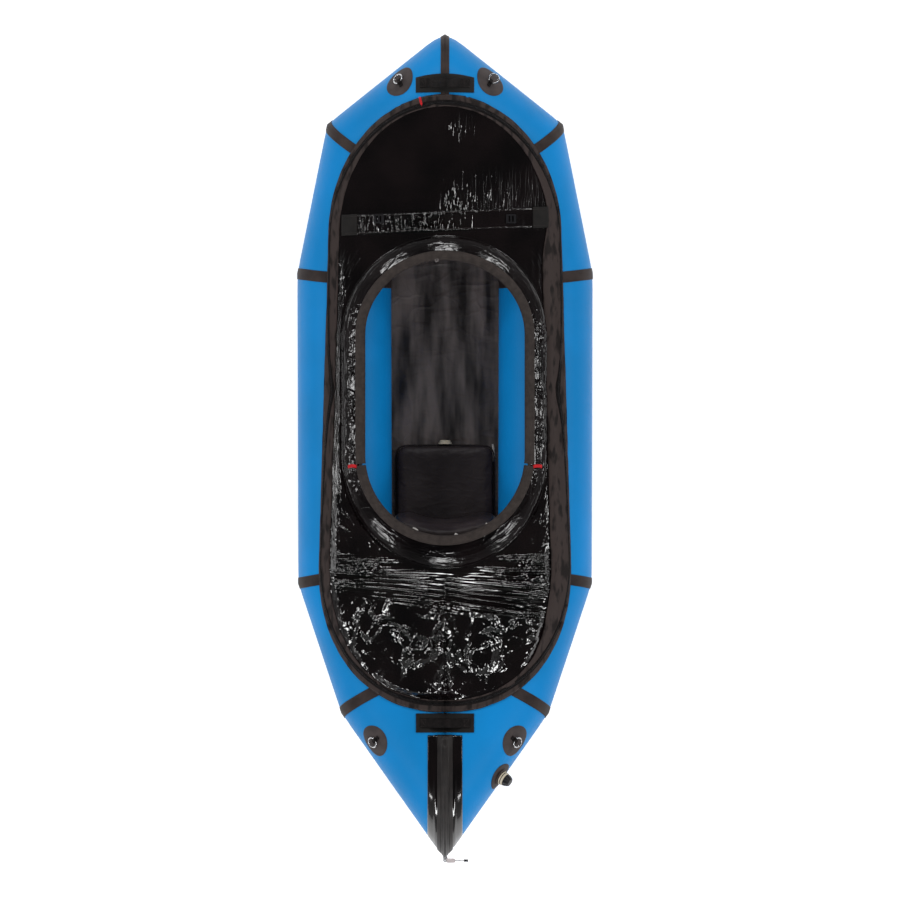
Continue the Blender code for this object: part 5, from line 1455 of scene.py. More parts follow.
ring = superellipse(BACK_HALF[0] - BACK_SEAM_SET_IN, BACK_HALF[2] - BACK_SEAM_SET_IN, BACK_ROUNDNESS)
seam = [back_place(Vector((x, -BACK_HALF[1] * BACK_SEAM_FORWARD, z))) + back_shift for x, z in ring]
swept("backrest_piping", seam, grey_piping, BACK_PIPING_OVAL, "seat_fabric", cyclic=True,
      body="folding_backrest")
for index, (x, length) in enumerate(LACING_LOOPS):
    foot = min((spot for spot in seam if spot.z > BACK_MIDDLE), key=lambda spot: (spot.x - x) ** 2)
    run = []
    for s in shares(10):
        bulge = sin(pi * s)
        run.append(foot + Vector((length * 0.45 * bulge, 0.010 - length * 0.6 * s, 0.006 + 0.008 * bulge)))
    swept(f"lacing_loop_{index}", run, white_lace, LACING_OVAL, "seat_fabric", body="folding_backrest")
print("backrest from", [round(v, 3) for v in back_low], "to", [round(v, 3) for v in back_high])

# %% [markdown]
# ## Patches, loops and rings
#
# Four round rubber patches are welded to the tubes. On each, a short webbing loop holds a steel ring that
# swings. A patch is a disc bent round the tube: a point's distance across the tube becomes an angle.


# %% Pieces on the round of a tube
def bent(frame_at, along, across, rise, lift):
    """A point along and across the tube in a skin frame, bent round the tube and raised off it."""
    radius = SKIN_RADIUS + lift
    turn = across / radius
    outer = radius + rise
    return frame_at @ Vector((along, outer * sin(turn), outer * cos(turn) - radius))


def disc(name, finish, frame_at, radius, lift, rise_at, steps=72, rings=12):
    """A round patch on a tube. The rise at each share of its radius gives it a moulded edge."""
    def place(u, v):
        turn, reach = 2 * pi * u, radius * v
        return bent(frame_at, reach * cos(turn), reach * sin(turn), rise_at(v), lift)
    obj = sheet(name, finish, steps, rings, place, (2 * pi * radius, radius), wrap=True)
    with reshaping(obj.data) as shape:
        bmesh.ops.remove_doubles(shape, verts=shape.verts, dist=MERGE_DISTANCE)
    out = frame_at.to_3x3() @ Vector((0, 0, 1))
    return facing(obj, lambda face: out)


def strap(name, finish, spots, across, width, thickness):
    """A flat strap along a path, with its width in one direction."""
    rows = len(spots) - 1
    half = across.normalized() * width / 2
    length = sum((b - a).length for a, b in zip(spots, spots[1:]))

    def place(u, v):
        return spots[round(v * rows)] + half * (2 * u - 1)
    return thicken(sheet(name, finish, 4, rows, place, (width, length)), thickness, 0.0)


# %% Ring fittings
PATCH_LIFT = 0.0009
RING_PATCH_RADIUS, RING_PATCH_FABRIC = 0.054, 0.0012
PATCH_BEVEL, PATCH_LIP = (0.95, 1.0), 0.0004
RING_RADIUS, RING_WIRE, RING_STAND = 0.0165, 0.00225, 57.0
LOOP_SETBACK, LOOP_HEIGHT, LOOP_LENGTH, LOOP_TAB = 0.010, 0.0046, 0.013, 0.013
LOOP_BEND, LOOP_BED, LOOP_FABRIC = 0.0043, 0.0014, 0.0013
PAD_RADIUS, PAD_HEIGHT = 0.030, 0.0009
RINGS = (
    ("bow_starboard", 0, 1, 0.0735, 55.3, RING_STAND),
    ("bow_port", 0, -1, 0.0735, 55.3, 0.0),
    ("stern_starboard", 4, 1, -0.222, 50.6, 0.0),
    ("stern_port", 4, -1, -0.222, 50.6, 0.0),
)


def moulded_edge(share):
    """Flat, with a low lip and a thin bevelled rim."""
    lip = PATCH_LIP * exp(-((share - 0.93) / 0.02) ** 2)
    return RING_PATCH_FABRIC * (1 - smoothstep(*PATCH_BEVEL, share)) + lip


def cushioned(share):
    return PAD_HEIGHT * (1 - share ** 8)


def loop_path(frame_at):
    """The webbing: a sewn tab, an arch over the ring's wire, and the other tab."""
    bed, axis = RING_PATCH_FABRIC + LOOP_BED, RING_PATCH_FABRIC + LOOP_HEIGHT
    tabs = [(LOOP_BEND + LOOP_TAB * (1 - s), bed) for s in (0, 0.4, 0.8, 0.95)]
    angles = [radians(angle) for angle in range(0, 181, 15)]
    arch = [(LOOP_BEND * cos(angle), axis + LOOP_BEND * sin(angle)) for angle in angles]
    outline = tabs + arch + [(-y, z) for y, z in reversed(tabs)]
    return [frame_at @ Vector((0, y, z)) for y, z in outline]


for title, section, side, along, angle, stand in RINGS:
    skin = hull.skin_frame(section, side, along, angle, PATCH_LIFT)
    patch = disc(f"patch_{title}", patch_rubber, skin, RING_PATCH_RADIUS, PATCH_LIFT, moulded_edge)
    settle(patch, "rubber", f"ring_patch_{title}")
    setback = degrees(LOOP_SETBACK / TUBE_RADIUS)
    seat_frame = hull.skin_frame(section, side, along, angle - setback, PATCH_LIFT)
    pad_lift = PATCH_LIFT + RING_PATCH_FABRIC
    pad = disc(f"pad_{title}", patch_rubber, seat_frame, PAD_RADIUS, pad_lift, cushioned, 48, 8)
    settle(pad, "rubber")
    across = seat_frame.to_3x3() @ Vector((1, 0, 0))
    web = strap(f"loop_{title}", black_webbing, loop_path(seat_frame), across, LOOP_LENGTH, LOOP_FABRIC)
    settle(web, "webbing")
    hinge = seat_frame @ Matrix.Translation((0, 0, RING_PATCH_FABRIC + LOOP_HEIGHT))
    lean = Vector((0, cos(radians(stand)), sin(radians(stand))))
    sag = RING_RADIUS - sqrt(RING_RADIUS ** 2 - (LOOP_LENGTH / 2) ** 2)
    middle = lean * (RING_RADIUS - sag / 2)
    circle = [hinge @ (middle + RING_RADIUS * (Vector((cos(turn), 0, 0)) + lean * sin(turn)))
              for turn in circle_turns(64)]
    swept(f"steel_ring_{title}", circle, ring_steel, (RING_WIRE, RING_WIRE), "steel", f"ring_{title}",
          sides=14, cyclic=True, body=f"{title}_ring")
print("rings", len(RINGS))

# %% [markdown]
# ## The handles
#
# A patch is welded across each end of the boat, and a webbing strap is sewn to it at both ends. The free
# middle of the strap stands up in a low arch for a hand. At the bow the patch's forward edge is cut as a
# bow.

# %% Handles
HANDLE_PATCH_HALF, HANDLE_PATCH_WIDTH = 0.096, 0.062
HANDLE_HALF, HANDLE_WIDTH, HANDLE_WEBBING = 0.082, 0.030, 0.0022
HANDLE_ARCH, HANDLE_SEWN = 0.030, 0.022
HANDLE_PATCH_LIFT, HANDLE_PATCH_FABRIC, HANDLE_LIFT = 0.0014, 0.0014, 0.0008
HANDLE_CURL = 0.0008
PATCH_BOW = 0.012
BOW_HANDLE_AHEAD, STERN_HANDLE_AHEAD = 0.020, 0.187
handle_spots = {}


def handle(name, middle_y, bow):
    """A patch and its strap. The strap is sewn down at both ends and arches between them."""
    free = HANDLE_HALF - HANDLE_SEWN

    def patch_place(u, v):
        x = HANDLE_PATCH_HALF * (2 * u - 1)
        cut = bow * (x / HANDLE_PATCH_HALF) ** 2
        low, high = middle_y - HANDLE_PATCH_WIDTH / 2, middle_y + HANDLE_PATCH_WIDTH / 2 - cut
        y = low + (high - low) * v
        return Vector((x, y, hull.height(x, y, HANDLE_PATCH_LIFT)))
    patch_size = (2 * HANDLE_PATCH_HALF, HANDLE_PATCH_WIDTH)
    patch = sheet(f"{name}_handle_base", handle_cloth, 60, 16, patch_place, patch_size)
    thicken(faces_up(patch), HANDLE_PATCH_FABRIC)

    def strap_place(u, v):
        x, y = HANDLE_HALF * (2 * u - 1), middle_y + HANDLE_WIDTH * (v - 0.5)
        rise = cos(pi / 2 * min(abs(x) / free, 1)) ** 2
        curl = HANDLE_CURL * cos(2 * pi * v)
        bed = hull.height(x, y, HANDLE_PATCH_LIFT + HANDLE_PATCH_FABRIC + HANDLE_LIFT)
        return Vector((x, y, bed + HANDLE_ARCH * rise - curl * rise))
    web = sheet(f"{name}_handle_web", black_webbing, 80, 10, strap_place, (2 * HANDLE_HALF, HANDLE_WIDTH))
    thicken(faces_up(web), HANDLE_WEBBING)
    settle(patch, "webbing", f"{name}_handle_patch")
    settle(web, "webbing", f"{name}_handle_strap")
    handle_spots[name] = strap_place


handle("bow", hull.nodes[0].y + BOW_HANDLE_AHEAD, PATCH_BOW)
handle("stern", hull.nodes[-1].y + STERN_HANDLE_AHEAD, 0.0)
print("handles", sorted(handle_spots))

# %% [markdown]
# ## The waterproof zip at the stern
#
# The zip opens the hull, so that gear can go inside the tubes. Its tape is a glossy urethane strip over the
# stern's seam, and its chain is a matt strip of interlocked plastic teeth with a ridge along the middle. The
# chain ends in a keyhole, where the slider docks and seals.

# %% The strip over the stern
ZIP_REACH, ZIP_LIFT, ZIP_FABRIC = 0.100, 0.0013, 0.0014
ZIP_INNER_ANGLE, ZIP_TIP_ANGLE = -30.0, 82.0
CHAIN_REACH, CHAIN_HEIGHT = 0.044, 0.0032
ZIP_STEPS, ZIP_LENGTH = 90, 0.42


def zip_spot(slide, share, lift):
    """A point of the strip: slid away from the ridge, and its share of the way round to the tip."""
    inner_y = hull.at_mitre(5, QUARTER, lift).y - hull.nodes[5].y
    inner = asin(sin(radians(ZIP_INNER_ANGLE)) + abs(slide) * hull.along[-1].y / inner_y)
    angle = inner + (radians(ZIP_TIP_ANGLE) - inner) * share
    spot = hull.at_mitre(5, angle, lift, -abs(slide))
    return blunt(Vector((copysign(spot.x, slide), spot.y, spot.z)))


def zip_strip(name, finish, reach, relief, thickness, columns, weights=None):
    """A strip over the stern whose height is given by its relief."""
    def place(u, v):
        slide = reach * (2 * u - 1)
        return zip_spot(slide, v, relief(abs(slide), v))
    obj = sheet(name, finish, columns, ZIP_STEPS, place, (2 * reach, ZIP_LENGTH), weights=weights)
    return thicken(faces_up(obj), thickness)


def tape_relief(slide, share):
    """The tape is welded down along its edges and stands a little beside the chain, the same all along."""
    beside = 0.0011 * exp(-((slide - 0.056) / 0.008) ** 2)
    return ZIP_LIFT + beside - 0.0008 * smoothstep(0.094, 0.1, slide)


def chain_relief(slide, share):
    """A ridge along the middle, and grooves at the edges of the teeth. The keyhole is a round dish."""
    start = smoothstep(0.0, 0.02, share)
    ridge = 0.0016 * exp(-(slide / 0.006) ** 2) * smoothstep(0.10, 0.16, share)
    groove = 0.0012 * exp(-((slide - 0.020) / 0.0030) ** 2)
    away = hypot(slide, (share - 0.055) * ZIP_LENGTH)
    dish = 0.0030 * exp(-(away / 0.011) ** 4)
    lip = 0.0016 * exp(-((away - 0.014) / 0.004) ** 2)
    return ZIP_LIFT + ZIP_FABRIC + GAP + start * (0.0010 + ridge - groove - dish + lip)


weights = {"ridges": lambda spot: 0.10}
zip_tape = zip_strip("zip_tape", deck_cloth, ZIP_REACH, tape_relief, ZIP_FABRIC, 60, weights)
settle(zip_tape, "deck_fabric", "stern_zip_tape")
zip_chain = zip_strip("zip_chain", zip_plastic, CHAIN_REACH, chain_relief, CHAIN_HEIGHT - ZIP_FABRIC, 64)
settle(zip_chain, "zip_rubber", "stern_zip_chain")
print("zip over the stern, m:", 2 * ZIP_REACH, "x", ZIP_LENGTH)

# %% [markdown]
# ## Teeth and stitches
#
# A coil zip and a line of stitches are the same thing to a modeller: one small shape repeated at an even
# spacing along a path, standing up from the cloth. So one Geometry Nodes tree makes both. It reads the path
# and, at each point, the direction out of the cloth, which the script has stored as an attribute named up.


# %% Beads along a path, in Geometry Nodes
def bead_tree():
    """Every second bead is shifted to one side and the others to the other side."""
    tree, given = group("beads along a path", ("Spacing", "Length", "Width", "Height", "Side Shift"))
    line = add(tree, "GeometryNodeMeshToCurve", {"Mesh": given.outputs["Geometry"]})
    even = add(tree, "GeometryNodeResampleCurve", {"Curve": line, "Length": given.outputs["Spacing"]},
               mode="LENGTH")
    up = add(tree, "GeometryNodeInputNamedAttribute", {"Name": "up"}, data_type="FLOAT_VECTOR")
    tangent = add(tree, "GeometryNodeInputTangent")
    ahead = add(tree, "FunctionNodeAlignRotationToVector", {"Vector": tangent}, axis="X")
    standing = add(tree, "FunctionNodeAlignRotationToVector", {"Rotation": ahead, "Vector": up}, axis="Z",
                   pivot_axis="X")
    sideways = add(tree, "ShaderNodeVectorMath", {0: up, 1: tangent}, operation="CROSS_PRODUCT")
    number = add(tree, "GeometryNodeInputIndex")
    parity = add(tree, "ShaderNodeMath", {0: number, 1: 2.0}, operation="MODULO")
    sign = add(tree, "ShaderNodeMath", {0: parity, 1: 2.0, 2: -1.0}, operation="MULTIPLY_ADD")
    shift = add(tree, "ShaderNodeMath", {0: sign, 1: given.outputs["Side Shift"]}, operation="MULTIPLY")
    offset = add(tree, "ShaderNodeVectorMath", {0: sideways, "Scale": shift}, operation="SCALE")
    placed = add(tree, "GeometryNodeSetPosition", {"Geometry": even, "Offset": offset})
    bead = add(tree, "GeometryNodeMeshUVSphere", {"Segments": given.outputs["Sides"], "Rings": 4,
                                                  "Radius": 0.5})
    size = add(tree, "ShaderNodeCombineXYZ", {"X": given.outputs["Length"], "Y": given.outputs["Width"],
                                              "Z": given.outputs["Height"]})
    shaped = add(tree, "GeometryNodeTransform", {"Geometry": bead, "Scale": size})
    copies = add(tree, "GeometryNodeInstanceOnPoints", {"Points": placed, "Instance": shaped,
                                                       "Rotation": standing})
    return finished(tree, given, copies)


beads = bead_tree()
BEAD_SIDES = 6


def beaded(name, path, ups, finish, spacing, size, side_shift=0.0, cyclic=False):
    length, width, height = size
    sizes = {"Spacing": spacing, "Length": length, "Width": width, "Height": height, "Side Shift": side_shift,
             "Sides": BEAD_SIDES}
    return grown(name, path, beads, finish, sizes, cyclic, ups)


axis_spots = [a.lerp(b, share) for a, b in zip(hull.nodes, hull.nodes[1:]) for share in shares(12)]


def path_ups(path):
    """The direction away from the tube's axis at each point of a path on the hull."""
    ups = []
    for spot in path:
        starboard = Vector((abs(spot.x), spot.y, spot.z))
        out = starboard - min(axis_spots, key=lambda at: (starboard - at).length)
        out.normalize()
        ups.append((copysign(out.x, spot.x), out.y, out.z))
    return ups


# %% The deck's zip and its seams
DECK_ZIP_INSET = 0.028
TOOTH_SPACING = 0.0042
TOOTH = (0.0030, 0.0068, 0.0030)
TOOTH_SHIFT, TOOTH_LIFT = 0.0006, 0.0022
COIL_TAPE_HALF, COIL_TAPE_LIFT, COIL_TAPE_FABRIC = 0.0085, 0.0004, 0.0006
STITCH_SPACING, STITCH = 0.0050, (0.0034, 0.0009, 0.0007)
STITCH_INSET, STITCH_LIFT = 0.0045, 0.0005


def zip_tape_place(u, v):
    """The flat tape under the zip's teeth, all round the deck."""
    line = deck_lines[round(u * DECK_COLUMNS) % DECK_COLUMNS]
    return line.spot(DECK_ZIP_INSET + COIL_TAPE_HALF * (2 * v - 1), BAND_FABRIC + COIL_TAPE_LIFT)


run = [line.spot(DECK_ZIP_INSET, BAND_FABRIC + TOOTH_LIFT) for line in deck_lines[::2]]
coil = beaded("deck_zip_coil", run, path_ups(run), black_nylon, TOOTH_SPACING, TOOTH, TOOTH_SHIFT, True)
settle(coil, "zip_rubber", "deck_zip_chain")
tape_map = (deck_girth, 2 * COIL_TAPE_HALF)
tape = sheet("deck_zip_tape", black_webbing, DECK_COLUMNS, 3, zip_tape_place, tape_map, wrap=True)
thicken(faces_up(tape), COIL_TAPE_FABRIC)
settle(tape, "zip_rubber")
run = [from_edge(turn, STITCH_INSET, BAND_FABRIC + STITCH_LIFT) for turn in shares(DECK_COLUMNS)[:-1:2]]
stitches = beaded("band_stitches", run, path_ups(run), grey_piping, STITCH_SPACING, STITCH, cyclic=True)
settle(stitches, "band_fabric")
print("faces of the zip's teeth", len(coil.data.polygons), "and of the stitches", len(stitches.data.polygons))

# %% [markdown]
# ## The cross band on the foredeck
#
# A band is sewn over the foredeck's spar, a little askew, with a matt patch at each end and two ladder-lock
# buckles for lashing gear. It lies on the deck, so its height is found by looking down on the deck's mesh.

# %% Cross band
CROSS_Y, CROSS_WIDTH, CROSS_TILT = 0.745, 0.062, 0.040
CROSS_HALF, CROSS_PATCH, CROSS_PATCH_OVERHANG = 0.330, 0.052, 0.012
CROSS_PATCH_SPREAD, CROSS_PATCH_FABRIC = 1.12, 0.0008
CROSS_FABRIC, CROSS_LIFT, CROSS_PUCKER = 0.0012, 0.0016, 0.0050
WELT_OVAL, WELT_LIFT = (0.0014, 0.0014), 0.0006

bpy.context.view_layer.update()
deck_tree = BVHTree.FromObject(deck, bpy.context.evaluated_depsgraph_get())


def cross_spot(x, across, lift):
    """A point over the deck: along the band, and a share of its width ahead of the middle."""
    y = CROSS_Y + CROSS_TILT * x + CROSS_WIDTH * across
    return Vector((x, y, below(deck_tree, x, y).z + lift))


def cross_place(u, v):
    """The band's port half is gathered, so it puckers more than the other."""
    x = CROSS_HALF * (2 * u - 1)
    left = 0.25 + 0.75 * smoothstep(0.05, -0.05, x) * smoothstep(0.5, 0.42, abs(v - 0.5))
    pucker = CROSS_PUCKER * left * max(noise.noise(Vector((x * 105, v * 2.8, 1.0))), 0)
    return cross_spot(x, v - 0.5, CROSS_LIFT + pucker)


weights = {"crushed": lambda spot: 0.3 + 0.9 * smoothstep(0.1, -0.1, spot.x),
           "scuffs": lambda spot: 0.25 + 0.75 * smoothstep(0.12, -0.02, spot.x)}
cross_map = (2 * CROSS_HALF, CROSS_WIDTH)
crossing = sheet("cross_band", deck_cloth, 220, 14, cross_place, cross_map, weights=weights)
thicken(faces_up(crossing), CROSS_FABRIC)
settle(crossing, "band_fabric", "foredeck_cross_band")
for side, way in SIDES.items():
    def patch_place(u, v):
        x = way * (CROSS_HALF + CROSS_PATCH_OVERHANG - CROSS_PATCH * (1 - u))
        spot = cross_spot(x, CROSS_PATCH_SPREAD * (v - 0.5), 0.0)
        spot.z = lay(spot.x, spot.y, CROSS_LIFT + CROSS_FABRIC + CROSS_PUCKER * 0.5).z
        return spot
    patch_size = (CROSS_PATCH, CROSS_WIDTH)
    end_patch = sheet(f"cross_band_patch_{side}", handle_cloth, 12, 14, patch_place, patch_size)
    thicken(faces_up(end_patch), CROSS_PATCH_FABRIC)
    settle(end_patch, "band_fabric")
for edge, across in (("front", 0.5), ("rear", -0.5)):
    run = [cross_spot(-CROSS_HALF + 2 * CROSS_HALF * s, across, CROSS_LIFT + WELT_LIFT) for s in shares(110)]
    swept(f"cross_band_welt_{edge}", run, deck_cloth, WELT_OVAL, "band_fabric")
print("cross band, m:", round(2 * CROSS_HALF, 3), "x", CROSS_WIDTH)

# %% [markdown]
# ## Turned parts
#
# The valve is moulded plastic: a flange, two rings, a neck and a cap with finger lobes. Its profile is
# turned round its axis, and the lobes pull the cap's wall in and out.


# %% Turning a profile
TURNED_MERGE = 1e-7


def turned(name, finish, profile, at, steps=72, lobe=None):
    """A profile of radii and heights, turned round the Z axis of a frame. It may be open at the axis."""
    rows = len(profile) - 1

    def place(u, v):
        radius, height = profile[round(v * rows)]
        turn = 2 * pi * u
        radius = lobe(radius, height, turn) if lobe else radius
        return at @ Vector((radius * cos(turn), radius * sin(turn), height))
    return sealed(sheet(name, finish, steps, rows, place, wrap=True), TURNED_MERGE)


def rounded(profile, reach=0.0006):
    """A profile with its corners cut round."""
    result = [profile[0]]
    for before, corner, after in zip(profile, profile[1:], profile[2:]):
        a, c, b = Vector(before), Vector(corner), Vector(after)
        start = c + (a - c).normalized() * min(reach, (a - c).length * 0.45)
        end = c + (b - c).normalized() * min(reach, (b - c).length * 0.45)
        result.extend(tuple(start.lerp(c, s).lerp(c.lerp(end, s), s)) for s in shares(3))
    return result + [profile[-1]]


# %% Inflation valve
VALVE_ALONG, VALVE_ANGLE = 0.103, 70.0
VALVE_PATCH_RADIUS = 0.048
VALVE_BORE, VALVE_BASE, VALVE_NECK, VALVE_COLLAR = 0.0140, 0.0290, 0.0240, 0.0225
VALVE_SEAT, VALVE_BASE_HEIGHT, VALVE_RING_HEIGHT, VALVE_CAP_HEIGHT = 0.0006, 0.0040, 0.0075, 0.0200
VALVE_CAP_RADIUS, VALVE_CAP_TOP, VALVE_CAP_WALL = 0.0205, 0.0150, 0.0022
VALVE_LOBES, VALVE_LOBE_DEPTH = 8, 0.0022
valve_frame = hull.skin_frame(4, 1, -VALVE_ALONG, VALVE_ANGLE, PATCH_LIFT)
base_top = RING_PATCH_FABRIC + VALVE_BASE_HEIGHT
neck_foot = base_top + GAP
neck_top = neck_foot + VALVE_RING_HEIGHT
head = neck_top + VALVE_RING_HEIGHT
cap_foot = head + GAP
cap_top = cap_foot + VALVE_CAP_HEIGHT

valve_patch = disc("valve_patch", patch_rubber, valve_frame, VALVE_PATCH_RADIUS, PATCH_LIFT, moulded_edge)
settle(valve_patch, "rubber", "valve_flange")
boss = turned("valve_boss", patch_rubber, rounded([
    (VALVE_BORE, VALVE_SEAT), (VALVE_BASE, VALVE_SEAT), (VALVE_BASE, base_top * 0.75), (VALVE_NECK, base_top),
    (VALVE_BORE, base_top), (VALVE_BORE, VALVE_SEAT)]), valve_frame)
settle(boss, "rubber")
waist = VALVE_NECK * 0.86
body = turned("valve_neck", ivory_plastic, rounded([
    (VALVE_BORE, neck_foot), (waist, neck_foot), (VALVE_NECK, neck_foot + 0.0025),
    (VALVE_NECK, neck_top - 0.0025), (waist, neck_top - 0.00125), (waist, neck_top), (VALVE_COLLAR, neck_top),
    (VALVE_COLLAR, head), (VALVE_BORE, head), (VALVE_BORE, neck_foot)]), valve_frame)
settle(body, "ivory_plastic", "valve_body")
gasket = turned("valve_gasket", black_nylon, rounded([
    (waist - 0.0004, neck_top - 0.0012), (VALVE_NECK - 0.0008, neck_top - 0.0012),
    (VALVE_NECK - 0.0008, neck_top + 0.0012), (VALVE_COLLAR - 0.0004, neck_top + 0.0012)]), valve_frame)
settle(gasket, "black_plastic")


def cap_lobe(radius, height, turn):
    """Finger lobes in the cap's wall, none in its foot and its flat top."""
    if height <= cap_foot + 0.0006 or radius < VALVE_CAP_TOP * 0.80:
        return radius
    return radius - VALVE_LOBE_DEPTH * (1 - cos(VALVE_LOBES * turn)) / 2


cap = turned("valve_cap_lobed", black_nylon, rounded([
    (0.0, cap_top - VALVE_CAP_WALL), (VALVE_CAP_TOP - VALVE_CAP_WALL, cap_top - VALVE_CAP_WALL),
    (VALVE_CAP_RADIUS - 2 * VALVE_CAP_WALL, cap_foot), (VALVE_CAP_RADIUS, cap_foot),
    (VALVE_CAP_RADIUS, cap_foot + 0.0067), (VALVE_CAP_TOP, cap_top - VALVE_CAP_WALL / 2),
    (VALVE_CAP_TOP * 0.80, cap_top), (0.0, cap_top)], 0.0012), valve_frame, 96, cap_lobe)
settle(cap, "black_plastic", "valve_cap", body="inflation_valve_cap")

# %% Rods, buckles, sliders and the seat's valve keep their CAD shapes
CAD_FINISHES = {
    "coaming_rod_front": rod_plastic, "coaming_rod_rear": rod_plastic, "deck_buckle_starboard": black_nylon,
    "deck_buckle_port": black_nylon, "seat_valve": ivory_plastic, "seat_valve_cap": ivory_plastic,
    "stern_zip_slider": ring_steel, "deck_zip_slider": black_nylon, "deck_zip_pull": red_webbing,
}
for node, finish in CAD_FINISHES.items():
    frame["nodes"][node].data.materials[0] = finish

# %% [markdown]
# ## The stern zip's pull
#
# A pale tab with grip ribs hangs on the slider's bail by a small loop of cord. A longer cord ends in a dark
# toggle, which is easy to find with a wet glove.

# %% Pull, cord and toggle
SLIDE_AXIS = Vector((0, 0.61671, 0.78719))
BAIL = Vector((0, -1.36808, 0.35185))
PULL_LOOP, PULL_OVAL = 0.0042, (0.0011, 0.0011)
TAB_LENGTH, TAB_WIDTH, TAB_THICK = 0.030, 0.023, 0.0030
CORD_TUCK, CORD_SWAY = 0.002, 0.0012
TOGGLE_X, TOGGLE_RADIUS, TOGGLE_LENGTH = 0.0695, 0.0048, 0.0135
TAB_RIBS = 6

abeam = Vector((1, 0, 0))
pull_frame = Matrix((abeam, SLIDE_AXIS, abeam.cross(SLIDE_AXIS))).transposed().to_4x4()
pull_frame.translation = BAIL


def tab_place(u, v):
    """A rounded plate, with ribs across it on both faces."""
    along, around = u * 2 - 1, 2 * pi * v
    width = TAB_WIDTH / 2 * (1 - abs(along) ** 6) ** (1 / 6)
    rib = 1 + 0.35 * max(cos(pi * TAB_RIBS * along), 0) * smoothstep(1.0, 0.7, abs(along))
    side, face = signed_power(cos(around), 0.5), signed_power(sin(around), 0.5)
    return pull_frame @ Vector((PULL_LOOP + TAB_LENGTH / 2 * (1 + along), width * side,
                                TAB_THICK / 2 * rib * face * (1 - abs(along) ** 12)))


tab = sealed(sheet("pull_tab", grey_plastic, 60, 32, tab_place))
settle(tab, "grey_plastic", "stern_zip_pull", body="stern_pull")
eye = [pull_frame @ Vector((PULL_LOOP * cos(turn), 0, PULL_LOOP * sin(turn)))
       for turn in circle_turns(40)]
swept("pull_eye", eye, black_webbing, PULL_OVAL, "grey_plastic", cyclic=True, body="stern_pull")
cord_start = PULL_LOOP + TAB_LENGTH - CORD_TUCK
cord_length = TOGGLE_X - cord_start
run = [pull_frame @ Vector((cord_start + cord_length * s, CORD_SWAY * sin(2 * pi * s), 0))
       for s in shares(16)]
swept("pull_cord", run, black_webbing, PULL_OVAL, "grey_plastic", body="stern_pull")
toggle_frame = pull_frame @ Matrix.Translation((TOGGLE_X - TOGGLE_LENGTH / 2, 0, 0))
toggle_frame @= Matrix.Rotation(QUARTER, 4, "Y")
toggle = turned("pull_toggle", black_nylon, rounded([
    (0.0, 0.0), (TOGGLE_RADIUS, 0.0), (TOGGLE_RADIUS * 0.8, TOGGLE_LENGTH / 2),
    (TOGGLE_RADIUS, TOGGLE_LENGTH), (0.0, TOGGLE_LENGTH)], 0.001), toggle_frame, 40)
settle(toggle, "grey_plastic", body="stern_pull")

# %% [markdown]
# ## Small things of cloth
#
# Where the two sleeves of the rim meet, a red tab shows where to pull the rod out. A grey knot marks the
# front of the rim. It is a trefoil, which a formula draws: twice round a ring, three times over and under
# it.

# %% Red tabs at the rim's joints
RED_TAB_WIDTH, RED_TAB_LENGTH, RED_TAB_FABRIC = 0.011, 0.030, 0.0014
RED_TAB_SET_IN, RED_TAB_AFT, RED_TAB_LIFT = 0.004, 0.007, 0.0015
RED_TAB_BULGE, RED_TAB_DROOP = 0.003, 0.010

for side, way in SIDES.items():
    split = turn_at(RIM_SPLIT_Y)
    start = rim_spot(split if way > 0 else 1 - split)
    start += Vector((way * (RIM_HALF_WIDTH - RED_TAB_SET_IN), -RED_TAB_AFT, RED_TAB_LIFT))
    run = []
    for s in shares(14):
        rise = RED_TAB_BULGE * sin(pi * s) - RED_TAB_DROOP * s * s
        run.append(start + Vector((way * RED_TAB_LENGTH * s, RED_TAB_BULGE * sin(3 * s), rise)))
    red = strap(f"rod_tab_{side}", red_webbing, run, Vector((0, 1, 0)), RED_TAB_WIDTH, RED_TAB_FABRIC)
    settle(red, "red_webbing")

# %% The grey knot at the front of the rim
KNOT_TURN, KNOT_RADIUS, KNOT_SWING, KNOT_RISE = 1 - 0.0125, 0.0044, 0.0016, 0.0022
KNOT_SET_IN, KNOT_LIFT, KNOT_OVAL = 0.002, 0.003, (0.0019, 0.0019)

at = rim_spot(KNOT_TURN) + Vector((0, -RIM_HALF_WIDTH + KNOT_SET_IN, KNOT_LIFT))
knot_path = []
for turn in circle_turns(48):
    radius = KNOT_RADIUS + KNOT_SWING * cos(3 * turn)
    knot_path.append(at + Vector((radius * cos(2 * turn), radius * sin(2 * turn),
                                  KNOT_RISE * sin(3 * turn))))
swept("front_knot", knot_path, grey_piping, KNOT_OVAL, "webbing", cyclic=True)

# %% [markdown]
# ## Stitches
#
# Bonded thread holds the webbing and the woven parts. Each seam is a row of short beads along a path, made
# by the same tree as the teeth of the deck's zip. On the real boat a stitch is 3 mm long and 0.5 mm thick.
# Here it is a little thicker, so that it shows.

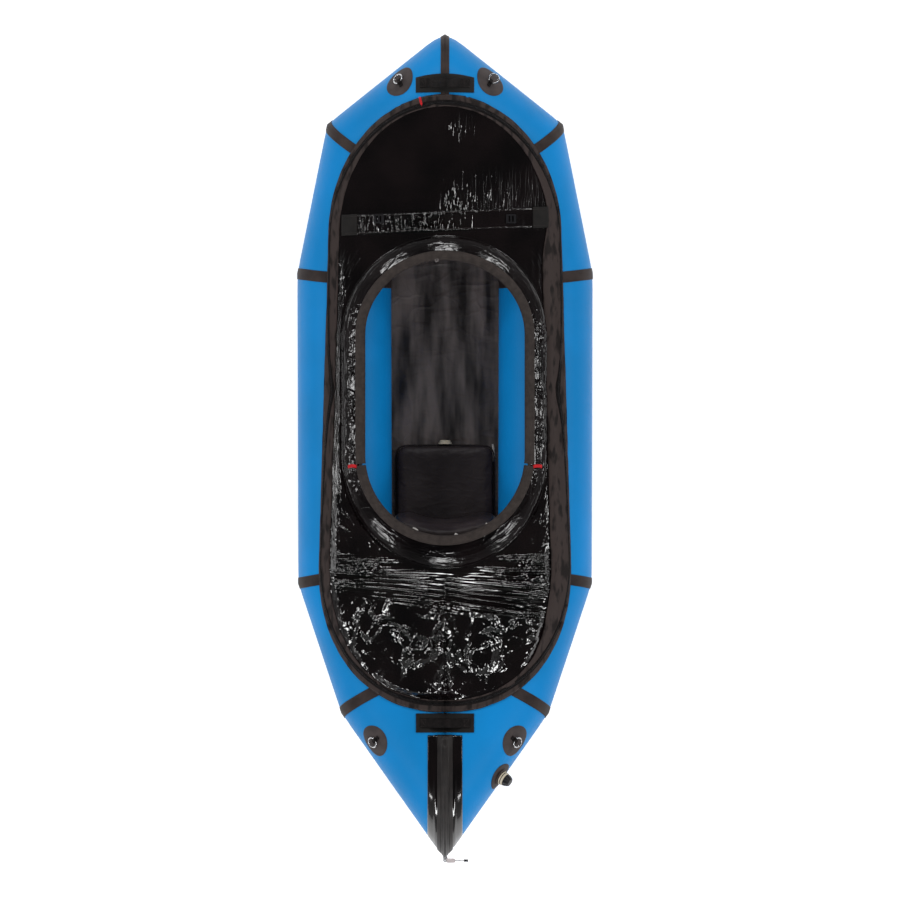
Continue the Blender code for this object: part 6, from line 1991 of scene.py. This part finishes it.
# %% Rows of stitches
SEAM_STITCH, SEAM_SPACING = (0.0030, 0.0009, 0.0008), 0.0044
SEW_NEAR, SEW_FAR, SEW_SIDE = 0.012, 0.115, 0.12
SEW_LIFT, BAND_SEW_LIFT, BAND_SEW_INSET = 0.0003, 0.0006, 0.004
RIM_SEW_REACH, RIM_SEW_HEIGHT, RIM_SEW_STEPS = 0.62, 0.80, 260
CROSS_SEW_REACH = 0.86
UP = (0.0, 0.0, 1.0)


def sewn(name, path, slot, cyclic=False):
    """A row of stitches that stands up from level cloth."""
    row = beaded(name, path, [UP] * len(path), seam_thread, SEAM_SPACING, SEAM_STITCH, cyclic=cyclic)
    settle(row, slot)


for name, place in handle_spots.items():
    for end, side in ((0, "port"), (1, "starboard")):
        far, near = abs(end - SEW_NEAR), abs(end - SEW_FAR)
        low, high = SEW_SIDE, 1 - SEW_SIDE
        corners = [(far, low), (near, low), (near, high), (far, high), (near, low)]
        lift = Vector((0, 0, HANDLE_WEBBING + SEW_LIFT))
        path = []
        for (u, v), (other_u, other_v) in zip(corners, corners[1:]):
            path.extend(place(u + (other_u - u) * k / 8, v + (other_v - v) * k / 8) + lift for k in range(8))
        sewn(f"{name}_handle_stitches_{side}", path, "webbing")
for title, way in (("inner", -1), ("outer", 1)):
    path = []
    for step in range(RIM_SEW_STEPS):
        turn = step / RIM_SEW_STEPS
        ahead = rim_line(turn + 0.001) - rim_line(turn - 0.001)
        out = Vector((-ahead.y, ahead.x, 0)).normalized()
        on_top = Vector((0, 0, RIM_HALF_HEIGHT * RIM_SEW_HEIGHT))
        path.append(rim_spot(turn) + out * (way * RIM_HALF_WIDTH * RIM_SEW_REACH) + on_top)
    sewn(f"rim_stitches_{title}", path, "rim_fabric", cyclic=True)
for edge, across in (("front", 0.5), ("rear", -0.5)):
    lift = CROSS_LIFT + CROSS_FABRIC + CROSS_PUCKER
    path = [cross_spot(CROSS_HALF * (k / 40 - 1), across * CROSS_SEW_REACH, lift) for k in range(81)]
    sewn(f"cross_band_stitches_{edge}", path, "band_fabric")
inner_seam = []
for k in range(240):
    width = band_width(deck_edge(k / 240))
    cover = BAND_COVER_LIFT * (width > BAND_COVER_EDGE[1])
    inner_seam.append(from_edge(k / 240, width - BAND_SEW_INSET, BAND_FABRIC + BAND_SEW_LIFT + cover))
sewn("band_inner_stitches", inner_seam, "band_fabric", cyclic=True)

# %% [markdown]
# The last cell only imports json.

# %% The end
import json
